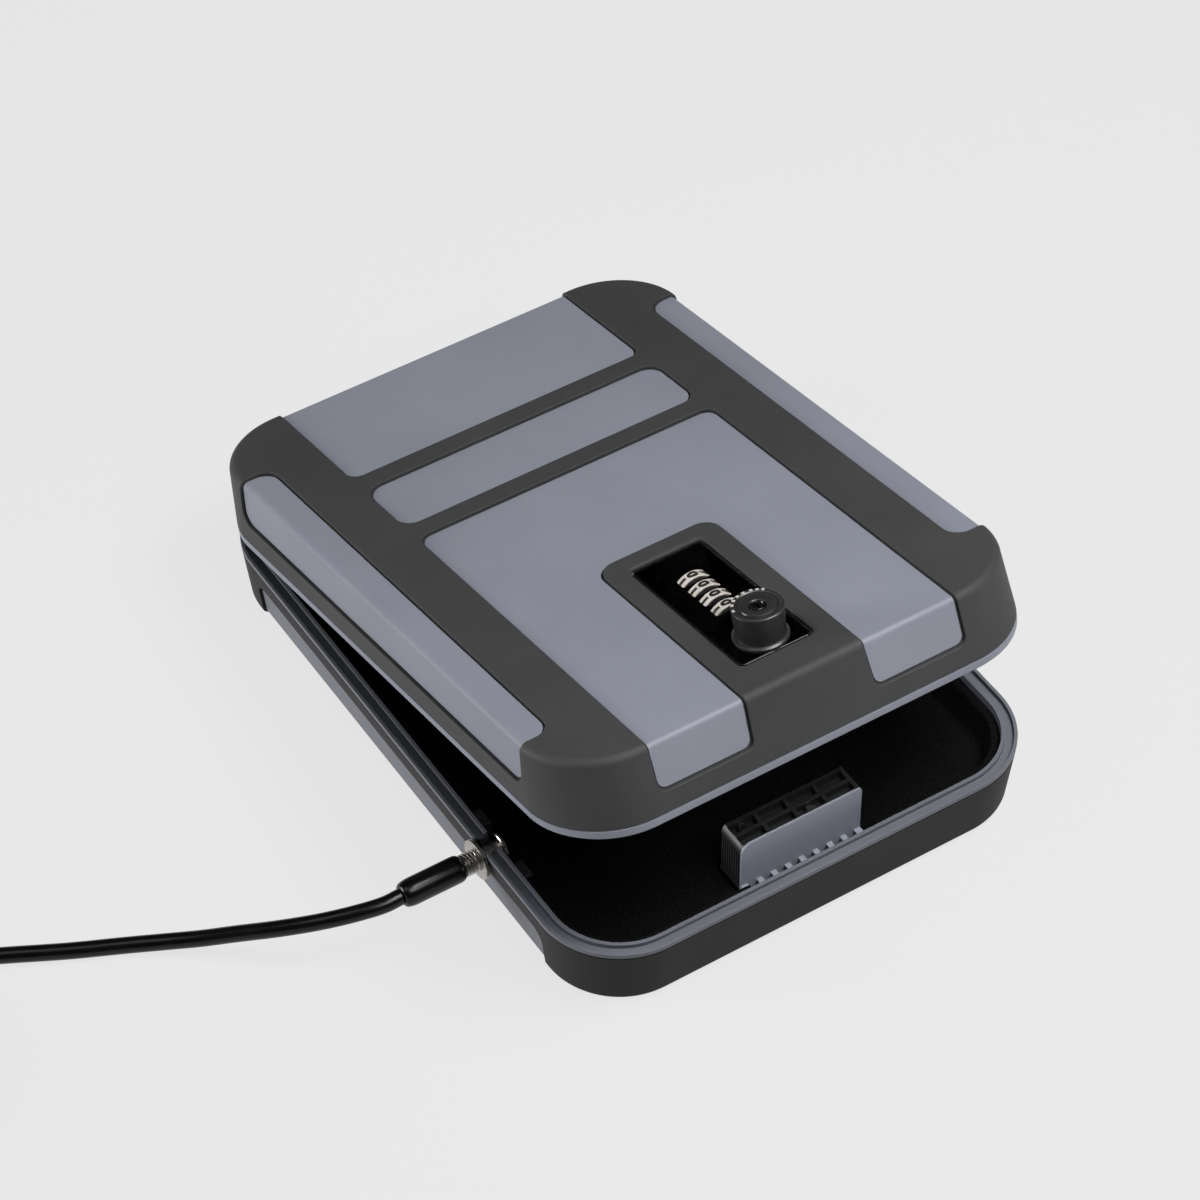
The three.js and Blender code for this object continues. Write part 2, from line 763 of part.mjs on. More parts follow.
function catchBlock() {
  const footFront = -halfDepth + cavityInset + baseDraft / 2 + seatGap;
  const outline = roundedOutline([
    [-blockHalfWidth, catchBottom, 0],
    [blockHalfWidth, catchBottom, 0],
    [blockHalfWidth, blockTop, blockBevel],
    [-blockHalfWidth, blockTop, blockFrontCorner],
  ], blockCornerSteps);
  let body = prismY(outline, blockFront, blockRear);
  const deck = block(-blockHalfWidth + blockWall, blockHalfWidth - blockWall / 2,
    blockFront + blockWall, blockRear + cutOverrun, blockTop - blockDeckSunk, blockTop + cutOverrun);
  body = body.subtract(deck);
  for (let column = 0; column < blockPocketColumns; column += 1) {
    for (let row = 0; row < blockPocketRows; row += 1) {
      const x = pocketCentreX(column);
      const y = pocketCentreY(row);
      body = body.subtract(block(x - pocketLength / 2, x + pocketLength / 2,
        y - pocketBreadth / 2, y + pocketBreadth / 2, catchScrewSeat, blockTop + cutOverrun));
    }
  }
  const camSlot = block(camSlotLeft, camSlotRight, camSlotFront, blockRear + cutOverrun,
    camSlotBottom, camSlotTop);
  let foot = block(-blockHalfWidth, blockHalfWidth, footFront, blockFront + blockWall,
    footBottom, footBottom + footThickness);
  for (let slot = 0; slot < footSlots; slot += 1) {
    const x = (slot - (footSlots - 1) / 2) * footSlotPitch;
    foot = foot.subtract(block(x - footSlotWidth / 2, x + footSlotWidth / 2,
      footFront + blockWall, blockFront, footBottom - cutOverrun, footBottom + cutOverrun));
  }
  const screwBores = catchScrewPlaces.flatMap(([x, y]) => [
    disc(catchScrewRadius + seatGap, 0, blockTop, boreFacets).translate([x, y, 0]),
    disc(catchBossRadius + seatGap, 0, padTop + seatGap, boreFacets).translate([x, y, 0]),
  ]);
  return body.subtract(camSlot).add(foot).subtract(joined(screwBores));
}

function screwBody(radius, headRadius, headHeight, length, headBottom) {
  const profile = [
    [0, headBottom - length],
    [radius, headBottom - length],
    [radius, headBottom],
    [headRadius, headBottom],
    [headRadius, headBottom + headHeight],
    [0, headBottom + headHeight],
  ];
  return turned(profile, screwFacets);
}

function catchScrew([x, y]) {
  const headBottom = catchScrewSeat + seatGap;
  return screwBody(catchScrewRadius, catchScrewHeadRadius, catchScrewHeadHeight,
    headBottom - catchScrewTip, headBottom).translate([x, y, 0]);
}

// A slab of the tray's inner form, drawn in by a gap from its walls.
function traySlab(gap, bottom, top) {
  return formBody(baseForm, cavityInset + gap, cutOverrun)
    .intersect(block(-bodyWidth, bodyWidth, -bodyDepth, bodyDepth, bottom, top));
}

function baseLiner() {
  const tray = traySlab(linerGap, shellFloor + seatGap, linerWallTop)
    .subtract(traySlab(linerGap + linerWall, padTop, linerWallTop + cutOverrun));
  const room = 2 * linerGap;
  const above = linerWallTop + cutOverrun;
  const blockRoom = block(-blockHalfWidth - room, blockHalfWidth + room,
    blockFront - room, blockRear + room, 0, above);
  const footRoom = block(-blockHalfWidth - room, blockHalfWidth + room,
    -bodyDepth, blockFront, padTop, above);
  const portRoomHalf = tabOffset + tabLength / 2 + seatGap + room;
  const portRoomBottom = Math.min(padTop, tabTop - tabHeight - room);
  const portRoom = block(-bodyWidth, wallInnerX + baseDraft + linerWall + room,
    portY - portRoomHalf, portY + portRoomHalf, portRoomBottom, above);
  return tray.subtract(joined([blockRoom, footRoom, portRoom]));
}

// Clips that hold the terminal's inner flange against the wall.
function portTab(side) {
  const centre = portY + side * tabOffset - seatGap;
  return block(wallFaceX, wallFaceX + tabThickness, centre - tabLength / 2,
    centre + tabLength / 2, tabTop - tabHeight, tabTop);
}

function hingePin(x) {
  const half = knuckleLength * 1.5 + knuckleGap;
  const profile = [
    [0, -half - hingePinHead],
    [hingePinRadius, -half - hingePinHead],
    [hingePinRadius, half],
    [hingePinRadius + hingePinHead, half + hingePinClearance],
    [hingePinRadius + hingePinHead, half + hingePinHead],
    [0, half + hingePinHead],
  ];
  return alongX(turned(profile, screwFacets)).translate([x, hingeY, hingeZ]);
}

// Lid: the opening that the lock face sits in
function lockHole() {
  const half = plateHalfWidth + seatGap;
  return prismZ(roundedOutline(rectangle(-half, half, plateFront - seatGap, plateRear + seatGap,
    plateCorner)), lidBottom, lidTop + cutOverrun);
}

function lidShell() {
  const core = formBody(lidForm, shellInset);
  const lip = formSlab(lidForm, 0, lidBottom, lidLipTop);
  const pads = formBody(lidForm, panelDepth).intersect(lidWindows(panelGap));
  const cavity = formBody(lidForm, cavityInset, cutOverrun);
  const tongueInset = outerRidge + tongueClearance;
  const tongueEnd = outerRidge + grooveWidth - tongueClearance;
  const tongueForm = { ...lidForm, open: lidBottom - tongueDepth, frontSetback: 0 };
  const tongue = formSlab(tongueForm, tongueInset, tongueForm.open, lidLipTop)
    .subtract(formSlab(tongueForm, tongueEnd, tongueForm.open - cutOverrun, lidLipTop + cutOverrun));
  const portGate = block(-bodyWidth, wallInnerX + cutOverrun, portY - portWidth, portY + portWidth,
    lidBottom - cutOverrun, lidBottom);
  const knuckles = lidKnuckleCentres.map((x) => knuckle(x, lidBottom, hingeZ + knuckleRadius));
  const screwHoles = earScrewPlaces.map(([x, y]) => disc(
    screwRadius + seatGap, 0, shellCeiling + bumperThickness + seatGap, boreFacets).translate([x, y, 0]));
  return joined([core, lip, pads, tongue.subtract(portGate)])
    .subtract(cavity)
    .subtract(joined(baseKnuckleCentres.map(knuckleRelief)))
    .add(joined(knuckles))
    .subtract(lockHole())
    .subtract(joined(screwHoles));
}

function lidBumper() {
  const bottom = lidLipTop + seatGap;
  const skin = formSlab(lidForm, 0, bottom, lidTop + cutOverrun)
    .subtract(formBody(lidForm, bumperThickness, cutOverrun));
  return skin.subtract(lidWindows(0)).subtract(lockHole());
}

const dialY = (index) => firstDialY - index * dialPitch;
const dialMiddleY = (dialY(0) + dialY(dialCount - 1)) / 2;
const dialSpan = (dialCount - 1) * dialPitch + dialWidth;

function lockFace() {
  const outline = roundedOutline(rectangle(-plateHalfWidth, plateHalfWidth,
    plateFront, plateRear, plateCorner));
  const recessHalf = dialSpan / 2 + slotRecessHalfWidth / 2;
  const recess = prismZ(roundedOutline(rectangle(-slotRecessHalfWidth, slotRecessHalfWidth,
    dialMiddleY - recessHalf, dialMiddleY + recessHalf, slotRecessHalfWidth - slideGap)),
  plateTop - slotRecessDepth, plateTop + cutOverrun);
  const slotHalf = dialWidth / 2 + slideGap;
  const slots = Array.from({ length: dialCount }, (_, index) => alongY(
    disc(dialRadius + slideGap, -slotHalf, slotHalf, dialFacets))
    .translate([0, dialY(index), dialAxisHeight]));
  const bore = disc(spindleRadius + seatGap, plateBottom - cutOverrun, plateTop + cutOverrun);
  return prismZ(outline, plateBottom, plateTop)
    .subtract(recess)
    .subtract(joined(slots))
    .subtract(bore.translate([0, knobY, 0]));
}

function lockCase() {
  const walls = block(-caseHalfWidth, caseHalfWidth, caseFront, caseRear, caseBottom, caseTop);
  const ears = earPlaces.map((y) => prismZ(roundedOutline(rectangle(-earHalfWidth, earHalfWidth,
    y - earHalfLength, y + earHalfLength, earCorner)), earBottom, earTop));
  const pocket = block(-pocketHalfWidth, pocketHalfWidth, pocketFront, pocketRear,
    caseBottom - cutOverrun, caseTop + cutOverrun);
  const rodBore = alongY(disc(rodRadius + seatGap, rodFront - seatGap, rodRear + seatGap, boreFacets))
    .translate([0, 0, dialAxisHeight]);
  const spindleBore = disc(spindleRadius + seatGap, caseBottom - cutOverrun, caseTop + cutOverrun);
  const collarRoom = disc(collarRadius + collarOffset + slideGap, collarBottom - slideGap,
    caseTop + cutOverrun);
  const barTop = dialAxisHeight + barHeight / 2;
  const barRoom = block(collarRadius, pocketHalfWidth, knobY - barLugWidth, pocketFront + cutOverrun,
    dialAxisHeight - barHeight / 2 - slideGap, barTop + cutOverrun);
  const earHoles = earScrewPlaces.map(([x, y]) => disc(screwRadius + seatGap,
    earBottom - cutOverrun, earTop + cutOverrun, boreFacets).translate([x, y, 0]));
  const coverHoles = coverScrewPlaces.map(([x, y]) => disc(screwRadius + seatGap,
    caseBottom - cutOverrun, caseBottom + coverScrewLength, boreFacets).translate([x, y, 0]));
  return joined([walls, ...ears])
    .subtract(pocket)
    .subtract(rodBore)
    .subtract(spindleBore.add(collarRoom).translate([0, knobY, 0]))
    .subtract(barRoom)
    .subtract(joined([...earHoles, ...coverHoles]));
}

function caseCover() {
  const holes = coverScrewPlaces.map(([x, y]) => disc(screwRadius + seatGap,
    coverBottom - cutOverrun, coverTop + cutOverrun, boreFacets).translate([x, y, 0]));
  const bore = disc(spindleRadius + seatGap, coverBottom - cutOverrun, coverTop + cutOverrun)
    .translate([0, knobY, 0]);
  return block(-caseHalfWidth, caseHalfWidth, caseFront, caseRear, coverBottom, coverTop)
    .subtract(joined([...holes, bore]));
}

// Screws that go upwards: the head is below.
function upwardScrew([x, y], length, headTop) {
  return screwBody(screwRadius, screwHeadRadius, screwHeadHeight, length, 0)
    .rotate([180, 0, 0]).translate([x, y, headTop]);
}

const rodRear = pocketRear + 3 * rodRadius;
const rodFront = pocketFront - 2 * rodRadius;

function dialRod() {
  return alongY(disc(rodRadius, rodFront, rodRear, boreFacets)).translate([0, 0, dialAxisHeight]);
}

function dial(index) {
  const wheel = ringBody(dialBore, dialRadius, -dialWidth / 2, dialWidth / 2, dialFacets);
  return alongY(wheel).translate([0, dialY(index), dialAxisHeight]);
}

function dialSleeve(index) {
  const half = dialWidth / 2;
  const flangeStart = -half - seatGap - gateFlangeWidth;
  const tube = disc(sleeveRadius, -half - seatGap, half);
  const gate = block(gateFlangeRadius - gateDepth, gateFlangeRadius + cutOverrun,
    -gateWidth / 2, gateWidth / 2, flangeStart - cutOverrun, -half - seatGap);
  const flange = disc(gateFlangeRadius, flangeStart, -half - seatGap).subtract(gate);
  const bore = disc(sleeveRadius - sleeveWall, flangeStart - cutOverrun, half + cutOverrun, boreFacets);
  return alongY(tube.add(flange).subtract(bore)).translate([0, dialY(index), dialAxisHeight]);
}

function detentSpring() {
  const bottom = coverTop + seatGap;
  const top = bottom + springThickness;
  const half = dialSpan / 2;
  const root = block(-springHalfWidth, -springHalfWidth + springRootWidth,
    dialMiddleY - half, dialMiddleY + half, bottom, top);
  const fingers = Array.from({ length: dialCount }, (_, index) => {
    const crown = bottom + springCrown - springThickness;
    const side = [
      [-springHalfWidth, bottom, 0],
      [-springHalfWidth + springRootWidth, bottom, 0],
      [0, crown - springThickness, 0],
      [springHalfWidth / 2, bottom, 0],
      [springHalfWidth / 2, top, 0],
      [0, crown, 0],
      [-springHalfWidth + springRootWidth, top, 0],
      [-springHalfWidth, top, 0],
    ];
    return prismY(roundedOutline(side), dialY(index) - springFingerWidth / 2,
      dialY(index) + springFingerWidth / 2);
  });
  return joined([root, ...fingers]);
}

function lockBar() {
  const bottom = dialAxisHeight - barHeight / 2;
  const top = dialAxisHeight + barHeight / 2;
  const front = knobY - barLugWidth / 2;
  const rail = block(barInner, barInner + barWidth, front, barRear, bottom, top);
  const fingerTip = gateFlangeRadius + slideGap;
  const fingers = Array.from({ length: dialCount }, (_, index) => {
    const y = dialY(index) - dialWidth / 2 - seatGap - gateFlangeWidth / 2;
    return block(fingerTip, barInner + barWidth / 2, y - barFingerWidth / 2,
      y + barFingerWidth / 2, bottom, top);
  });
  const lug = block(collarRadius + slideGap, barInner + barWidth / 2, front,
    front + barLugWidth, bottom, top);
  return joined([rail, lug, ...fingers]);
}

const collarBottom = dialAxisHeight - collarHeight / 2;

function knobSpindle() {
  const profile = [
    [0, spindleBottom],
    [spindleRadius, spindleBottom],
    [spindleRadius, clipHeight - slideGap],
    [clipGrooveRadius, clipHeight - slideGap],
    [clipGrooveRadius, clipHeight + clipThickness + slideGap / 2],
    [spindleRadius, clipHeight + clipThickness + slideGap / 2],
    [spindleRadius, spindleTop],
    [0, spindleTop],
  ];
  const angle = collarTurnShare * Math.PI;
  const collar = disc(collarRadius, collarBottom, collarBottom + collarHeight).translate(
    [collarOffset * Math.cos(angle), collarOffset * Math.sin(angle), 0]);
  const screwBore = disc(camScrewRadius + seatGap, spindleBottom - cutOverrun,
    spindleBottom + camScrewLength, boreFacets);
  return turned(profile, boreFacets).add(collar).subtract(screwBore).translate([0, knobY, 0]);
}

function spindleClip() {
  const ring = ringBody(clipGrooveRadius + seatGap, clipRadius, clipHeight, clipHeight + clipThickness);
  const opening = block(0, clipRadius + cutOverrun, -clipOpening / 2, clipOpening / 2,
    clipHeight - cutOverrun, clipHeight + cutOverrun);
  return ring.subtract(opening).translate([0, knobY, 0]);
}

function cam() {
  const tipRadius = camHalfWidth;
  const outline = roundedOutline([
    [-camHalfWidth, -camHalfWidth, camHalfWidth - seatGap / 2],
    [camReach, -camHalfWidth, tipRadius - seatGap / 2],
    [camReach, camHalfWidth, tipRadius - seatGap / 2],
    [-camHalfWidth, camHalfWidth, camHalfWidth - seatGap / 2],
  ], 4);
  const bore = disc(camScrewRadius + seatGap, camBottom - cutOverrun, camTop + cutOverrun, boreFacets);
  return prismZ(outline, camBottom, camTop).subtract(bore).translate([0, knobY, 0]);
}

function camScrew() {
  return screwBody(camScrewRadius, camScrewHeadRadius, camScrewHeadHeight,
    camScrewLength + camThickness, 0)
    .rotate([180, 0, 0]).translate([0, knobY, camBottom - seatGap]);
}

function knob() {
  const profile = [
    [0, knobBottom],
    [knobRadius + knobFlare, knobBottom],
    [knobRadius + knobFlare, knobBottom + knobSkirt],
    [knobRadius - knobFlare, knobBottom + 2 * knobSkirt],
    [knobRadius, knobTop - knobSkirt],
    [knobRadius - knobFlare, knobTop],
    [0, knobTop],
  ];
  const ring = ringBody(knobRingInner, knobRingOuter, knobTop - knobRingDepth,
    knobTop + cutOverrun, flangeFacets);
  const plugBore = disc(plugRadius + seatGap, knobTop - plugDepth, knobTop + cutOverrun);
  const shaftBore = disc(spindleRadius + seatGap, knobBottom - cutOverrun, spindleTop + seatGap);
  return turned(profile, knobFacets)
    .subtract(ring)
    .subtract(joined([plugBore, shaftBore]))
    .translate([0, knobY, 0]);
}

function keyPlug() {
  const top = knobTop - seatGap;
  const keyway = block(-keywayWidth / 2, keywayWidth / 2, -keywayLength / 2, keywayLength / 2,
    top - keywayDepth, top + cutOverrun);
  return disc(plugRadius, knobTop - plugDepth + seatGap, top)
    .subtract(keyway).translate([0, knobY, 0]);
}

// Cable terminal: two flanges on a barrel, dropped in the notch.
const outerFlangeRight = wallOuterX - seatGap;
const terminalLeft = wallOuterX - outerNeckReach;

function cableTerminal() {
  const innerFlangeLeft = wallFaceX;
  const innerFlangeRight = innerFlangeLeft + innerFlangeThickness;
  const profile = [
    [0, terminalLeft],
    [outerNeckRadius, terminalLeft],
    [outerNeckRadius, outerFlangeRight - outerFlangeThickness],
    [outerFlangeRadius, outerFlangeRight - outerFlangeThickness],
    [outerFlangeRadius, outerFlangeRight],
    [neckRadius, outerFlangeRight],
    [neckRadius, innerFlangeLeft],
    [innerFlangeRadius, innerFlangeLeft],
    [innerFlangeRadius, innerFlangeRight],
    [neckRadius / 2, innerFlangeRight + seatGap],
    [0, innerFlangeRight + seatGap],
  ];
  return alongX(turned(profile, flangeFacets)).translate([0, portY, portCentreHeight]);
}

const bootRight = terminalLeft - seatGap;
const bootLeft = bootRight - bootLength;

function cableBoot() {
  const profile = [
    [0, bootLeft],
    [cableRadius + seatGap, bootLeft],
    [bootRadius, bootLeft + bootTaper],
    [bootRadius, bootRight - bootTaper / 2],
    [bootRadius - seatGap, bootRight],
    [0, bootRight],
  ];
  return alongX(turned(profile)).translate([0, portY, portCentreHeight]);
}

// The cable's free stretch, from the boot down to the floor and on to the coil.
const cableStart = new THREE.Vector3(bootLeft - seatGap, portY, portCentreHeight);
const coilEntry = new THREE.Vector3(-275, 28.6, cableRadius);
const coilHeading = new THREE.Vector3(-0.885, 0.466, 0).normalize();
const routePoints = [
  [-122, -55.2, 19.0],
  [-131, -52.8, 18.2],
  [-141, -48.6, 16.6],
  [-152, -41.6, 13.3],
  [-163, -33.1, 9.2],
  [-172, -26.4, 6.0],
  [-181, -20.2, 4.0],
  [-192, -13.9, 3.0],
  [-208, -6.0, 2.7],
  [-227, 4.0, 2.7],
  [-246, 13.6, 2.7],
];

function cableRoute() {
  const points = routePoints.map(([x, y, z]) => new THREE.Vector3(x, y, z));
  const lead = coilEntry.clone().addScaledVector(coilHeading, -seatGap);
  const leadIn = lead.clone().addScaledVector(coilHeading, -2 * cableRadius);
  return new THREE.CatmullRomCurve3([cableStart, ...points, leadIn, lead]);
}

// Tube through points, with a ring of sides at each, closed at both ends. The
// ends' directions are given, so that the end faces stand square to what they meet.
function tube(points, radius, sides, startDirection, endDirection) {
  const positions = [];
  const faces = [];
  const last = points.length - 1;
  const up = new THREE.Vector3(0, 0, 1);
  points.forEach((point, index) => {
    const direction = points[Math.min(index + 1, last)].clone()
      .sub(points[Math.max(index - 1, 0)]).normalize();
    if (index === 0) direction.copy(startDirection);
    if (index === last) direction.copy(endDirection);
    const across = new THREE.Vector3().crossVectors(direction, up).normalize();
    const over = new THREE.Vector3().crossVectors(across, direction).normalize();
    for (let side = 0; side < sides; side += 1) {
      const angle = ((side + 0.5) / sides) * 2 * Math.PI;
      const spot = point.clone()
        .addScaledVector(across, radius * Math.cos(angle))
        .addScaledVector(over, radius * Math.sin(angle));
      positions.push(spot.x, spot.y, spot.z);
    }
  });
  for (let level = 0; level < last; level += 1) {
    for (let side = 0; side < sides; side += 1) {
      const a = level * sides + side;
      const b = level * sides + ((side + 1) % sides);
      faces.push(a, b + sides, b, a, a + sides, b + sides);
    }
  }
  for (let side = 1; side < sides - 1; side += 1) {
    faces.push(0, side, side + 1);
    faces.push(last * sides, last * sides + side + 1, last * sides + side);
  }
  const geometry = new THREE.BufferGeometry();
  geometry.setAttribute("position", new THREE.Float32BufferAttribute(positions, 3));
  geometry.setIndex(faces);
  return geometry;
}

// Tube along a curve as an extruded section.
function sweptTube(curve, radius, sides, steps) {
  const outline = Array.from({ length: sides }, (_, side) => {
    const angle = ((side + 0.5) / sides) * 2 * Math.PI;
    return new THREE.Vector2(radius * Math.cos(angle), radius * Math.sin(angle));
  });
  const geometry = new THREE.ExtrudeGeometry(new THREE.Shape(outline), {
    steps,
    extrudePath: curve,
    bevelEnabled: false,
  });
  geometry.deleteAttribute("normal");
  geometry.deleteAttribute("uv");
  return mergeVertices(geometry, 1e-3);
}

function cableRun() {
  const curve = cableRoute();
  return sweptTube(curve, cableRadius, cableSides, Math.round(curve.getLength() / cableStep));
}

// Coil: the bottom layer winds inwards, the cable climbs in the half turn where the
// spiral reverses, and the top layer winds outwards.
const headingSide = new THREE.Vector3(-coilHeading.y, coilHeading.x, 0);
const coveredLength = wallOuterX - bootLeft;
const eyeLength = 2 * Math.PI * eyeRadius;
const coilLength = cableLength - coveredLength - cableRoute().getLength() - tailLength
  - eyeSleeveLength - eyeLength;
const coilTurns = coilLength / (2 * Math.PI * coilMeanRadius);
const coilReach = coilPitch * coilTurns / 4;
const coilOuterRadius = coilMeanRadius + coilReach;
const coilCentre = coilEntry.clone().addScaledVector(headingSide, coilOuterRadius);
const coilStartAngle = Math.atan2(-headingSide.y, -headingSide.x);

// The climb takes this share of a turn on both sides of the coil's middle.
const climbHalfShare = 0.25;

function coilPoint(turn) {
  const middle = coilTurns / 2;
  const fromMiddle = Math.abs(turn - middle);
  const radius = coilOuterRadius - coilPitch * (middle - fromMiddle);
  const climb = THREE.MathUtils.smoothstep(turn, middle - climbHalfShare, middle + climbHalfShare);
  const angle = coilStartAngle + turn * 2 * Math.PI;
  return new THREE.Vector3(
    coilCentre.x + radius * Math.cos(angle),
    coilCentre.y + radius * Math.sin(angle),
    cableRadius + climb * coilLayerRise,
  );
}

const coilEndAngle = coilStartAngle + coilTurns * 2 * Math.PI;
const coilEndHeading = new THREE.Vector3(-Math.sin(coilEndAngle), Math.cos(coilEndAngle), 0);

function coilPoints() {
  const steps = Math.ceil(coilTurns * coilLoopSteps);
  const points = [];
  for (let step = 0; step <= steps; step += 1) {
    points.push(coilPoint((coilTurns * step) / steps));
  }
  const straight = 2 * cableRadius;
  const start = points[0].clone();
  const end = points[points.length - 1].clone().addScaledVector(coilEndHeading, straight);
  const shifted = points.map((point) => point.clone().addScaledVector(coilHeading, straight));
  return { points: [start, ...shifted, end.addScaledVector(coilHeading, straight)], straight };
}

function leastCoilGap(points) {
  let least = Infinity;
  const neighbours = coilLoopSteps / 2;
  points.forEach((point, index) => {
    for (let other = index + neighbours; other < points.length - 1; other += 1) {
      const start = points[other];
      const along = points[other + 1].clone().sub(start);
      const share = THREE.MathUtils.clamp(
        point.clone().sub(start).dot(along) / along.lengthSq(), 0, 1);
      const nearest = start.clone().addScaledVector(along, share);
      least = Math.min(least, point.distanceTo(nearest) - 2 * cableRadius);
    }
  });
  return least;
}

const coil = coilPoints();

function cableCoil() {
  console.log(`coil: ${coilTurns.toFixed(2)} turns, least gap ${leastCoilGap(coil.points).toFixed(2)} mm`);
  return tube(coil.points, cableRadius, coilSides, coilHeading, coilEndHeading);
}

// Tail from the coil down to the floor, then the crimped sleeve and the eye.
const coilExit = coil.points[coil.points.length - 1];
const tailSide = new THREE.Vector3(-coilEndHeading.y, coilEndHeading.x, 0);
const eyeSleeveZ = eyeSleeveHeight / 2;

function exitPoint(ahead, aside, height) {
  return new THREE.Vector3(coilExit.x, coilExit.y, 0)
    .addScaledVector(coilEndHeading, ahead)
    .addScaledVector(tailSide, aside)
    .setZ(height);
}

const tailShares = [0, 0.12, 0.35, 0.65, 0.88, 1];

function cableTail() {
  const top = coilExit.z;
  const drop = top - eyeSleeveZ;
  const points = tailShares.map((share) => exitPoint(seatGap + share * tailLength, 0,
    top - drop * THREE.MathUtils.smootherstep(share, 0, 1)));
  return sweptTube(new THREE.CatmullRomCurve3(points), cableRadius, cableSides, tailSteps);
}

const sleeveStart = tailLength + 2 * seatGap;
const sleeveEnd = sleeveStart + eyeSleeveLength;

function eyeSleeve() {
  const half = eyeSleeveWidth / 2;
  const corner = (eyeSleeveHeight - seatGap) / 2;
  const outline = roundedOutline(rectangle(-half, half, 0, eyeSleeveHeight, corner));
  const body = prismY(outline, 0, eyeSleeveLength);
  const turn = THREE.MathUtils.radToDeg(Math.atan2(coilEndHeading.y, coilEndHeading.x)) - 90;
  const place = exitPoint(sleeveStart, eyeLegOffset, 0);
  return body.rotate([0, 0, turn]).translate([place.x, place.y, place.z]);
}

// Half of the eye, as shares of its radius ahead of the straight ends and aside.
const eyeHalfShares = [[0.8, -0.55], [1.7, -0.62]];
const eyeTipShare = 2.35;

function cableEye() {
  const start = sleeveEnd + seatGap;
  const loopStart = start + 2 * cableRadius;
  const half = eyeHalfShares.map(([ahead, aside]) => [
    loopStart + ahead * eyeRadius, aside * eyeRadius]);
  const tip = loopStart + eyeTipShare * eyeRadius;
  const leg = [[start, 0], [loopStart, 0], ...half];
  const otherLeg = leg.map(([ahead, aside]) => [ahead, 2 * eyeLegOffset - aside]).reverse();
  const places = [...leg, [tip, eyeLegOffset], ...otherLeg];
  const points = places.map(([ahead, aside]) => exitPoint(ahead, aside,
    THREE.MathUtils.lerp(eyeSleeveZ, cableRadius, (ahead - start) / (tip - start))));
  return sweptTube(new THREE.CatmullRomCurve3(points), cableRadius, cableSides, eyeSteps);
}

// Assembly
const safe = new THREE.Group();
safe.add(
  piece("base_shell", baseShell(), "gray"),
  piece("base_bumper", baseBumper(), "black"),
  piece("base_liner", baseLiner(), "foam"),
  piece("catch_block", catchBlock(), "gray"),
  piece("port_tab_front", portTab(-1), "darkPlastic"),
  piece("port_tab_rear", portTab(1), "darkPlastic"),
  piece("cable_terminal", cableTerminal(), "steel"),
  piece("cable_boot", cableBoot(), "cable"),
  piece("cable_run", cableRun(), "cable"),
  piece("cable_coil", cableCoil(), "cable"),
  piece("cable_tail", cableTail(), "cable"),
  piece("eye_sleeve", eyeSleeve(), "steel"),
  piece("cable_eye", cableEye(), "cable"),
);
catchScrewPlaces.forEach((place, index) => {
  safe.add(piece(`catch_screw_${index + 1}`, catchScrew(place), "steel"));
});
hingeCentres.forEach((x, index) => {
  safe.add(piece(`hinge_pin_${index + 1}`, hingePin(x), "steel"));
});

// The lid group turns about the hinge axis; its pieces are built closed.
const lid = new THREE.Group();
lid.add(
  piece("lid_shell", lidShell(), "gray"),
  piece("lid_bumper", lidBumper(), "black"),
  piece("lock_face", lockFace(), "darkPlastic"),
  piece("lock_case", lockCase(), "darkPlastic"),
  piece("case_cover", caseCover(), "darkPlastic"),
  piece("dial_rod", dialRod(), "steel"),
  piece("detent_spring", detentSpring(), "steel"),
  piece("lock_bar", lockBar(), "steel"),
  piece("knob_spindle", knobSpindle(), "steel"),
  piece("spindle_clip", spindleClip(), "steel"),
  piece("cam", cam(), "steel"),
  piece("cam_screw", camScrew(), "steel"),
  piece("knob", knob(), "darkPlastic"),
  piece("key_plug", keyPlug(), "darkPlastic"),
);
for (let index = 0; index < dialCount; index += 1) {
  lid.add(
    piece(`dial_${index + 1}`, dial(index), "white"),
    piece(`dial_sleeve_${index + 1}`, dialSleeve(index), "brass"),
  );
}
earScrewPlaces.forEach((place, index) => {
  lid.add(piece(`case_screw_${index + 1}`,
    upwardScrew(place, caseScrewLength, earBottom - seatGap), "steel"));
});
coverScrewPlaces.forEach((place, index) => {
  lid.add(piece(`cover_screw_${index + 1}`,
    upwardScrew(place, coverScrewLength, coverBottom - seatGap), "steel"));
});
lid.children.forEach((mesh) => mesh.geometry.translate(0, -hingeY, -hingeZ));
lid.rotation.x = THREE.MathUtils.degToRad(-ajarAngle);
lid.position.set(0, hingeY, hingeZ);
safe.add(lid);

export default safe;
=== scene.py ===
"""Looks of the portable car safe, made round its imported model. Lengths are in
millimetres until a mesh is placed; the lid's pieces are made closed, then tilted."""
import json
import math

import bmesh
import bpy
from mathutils import Matrix, Vector


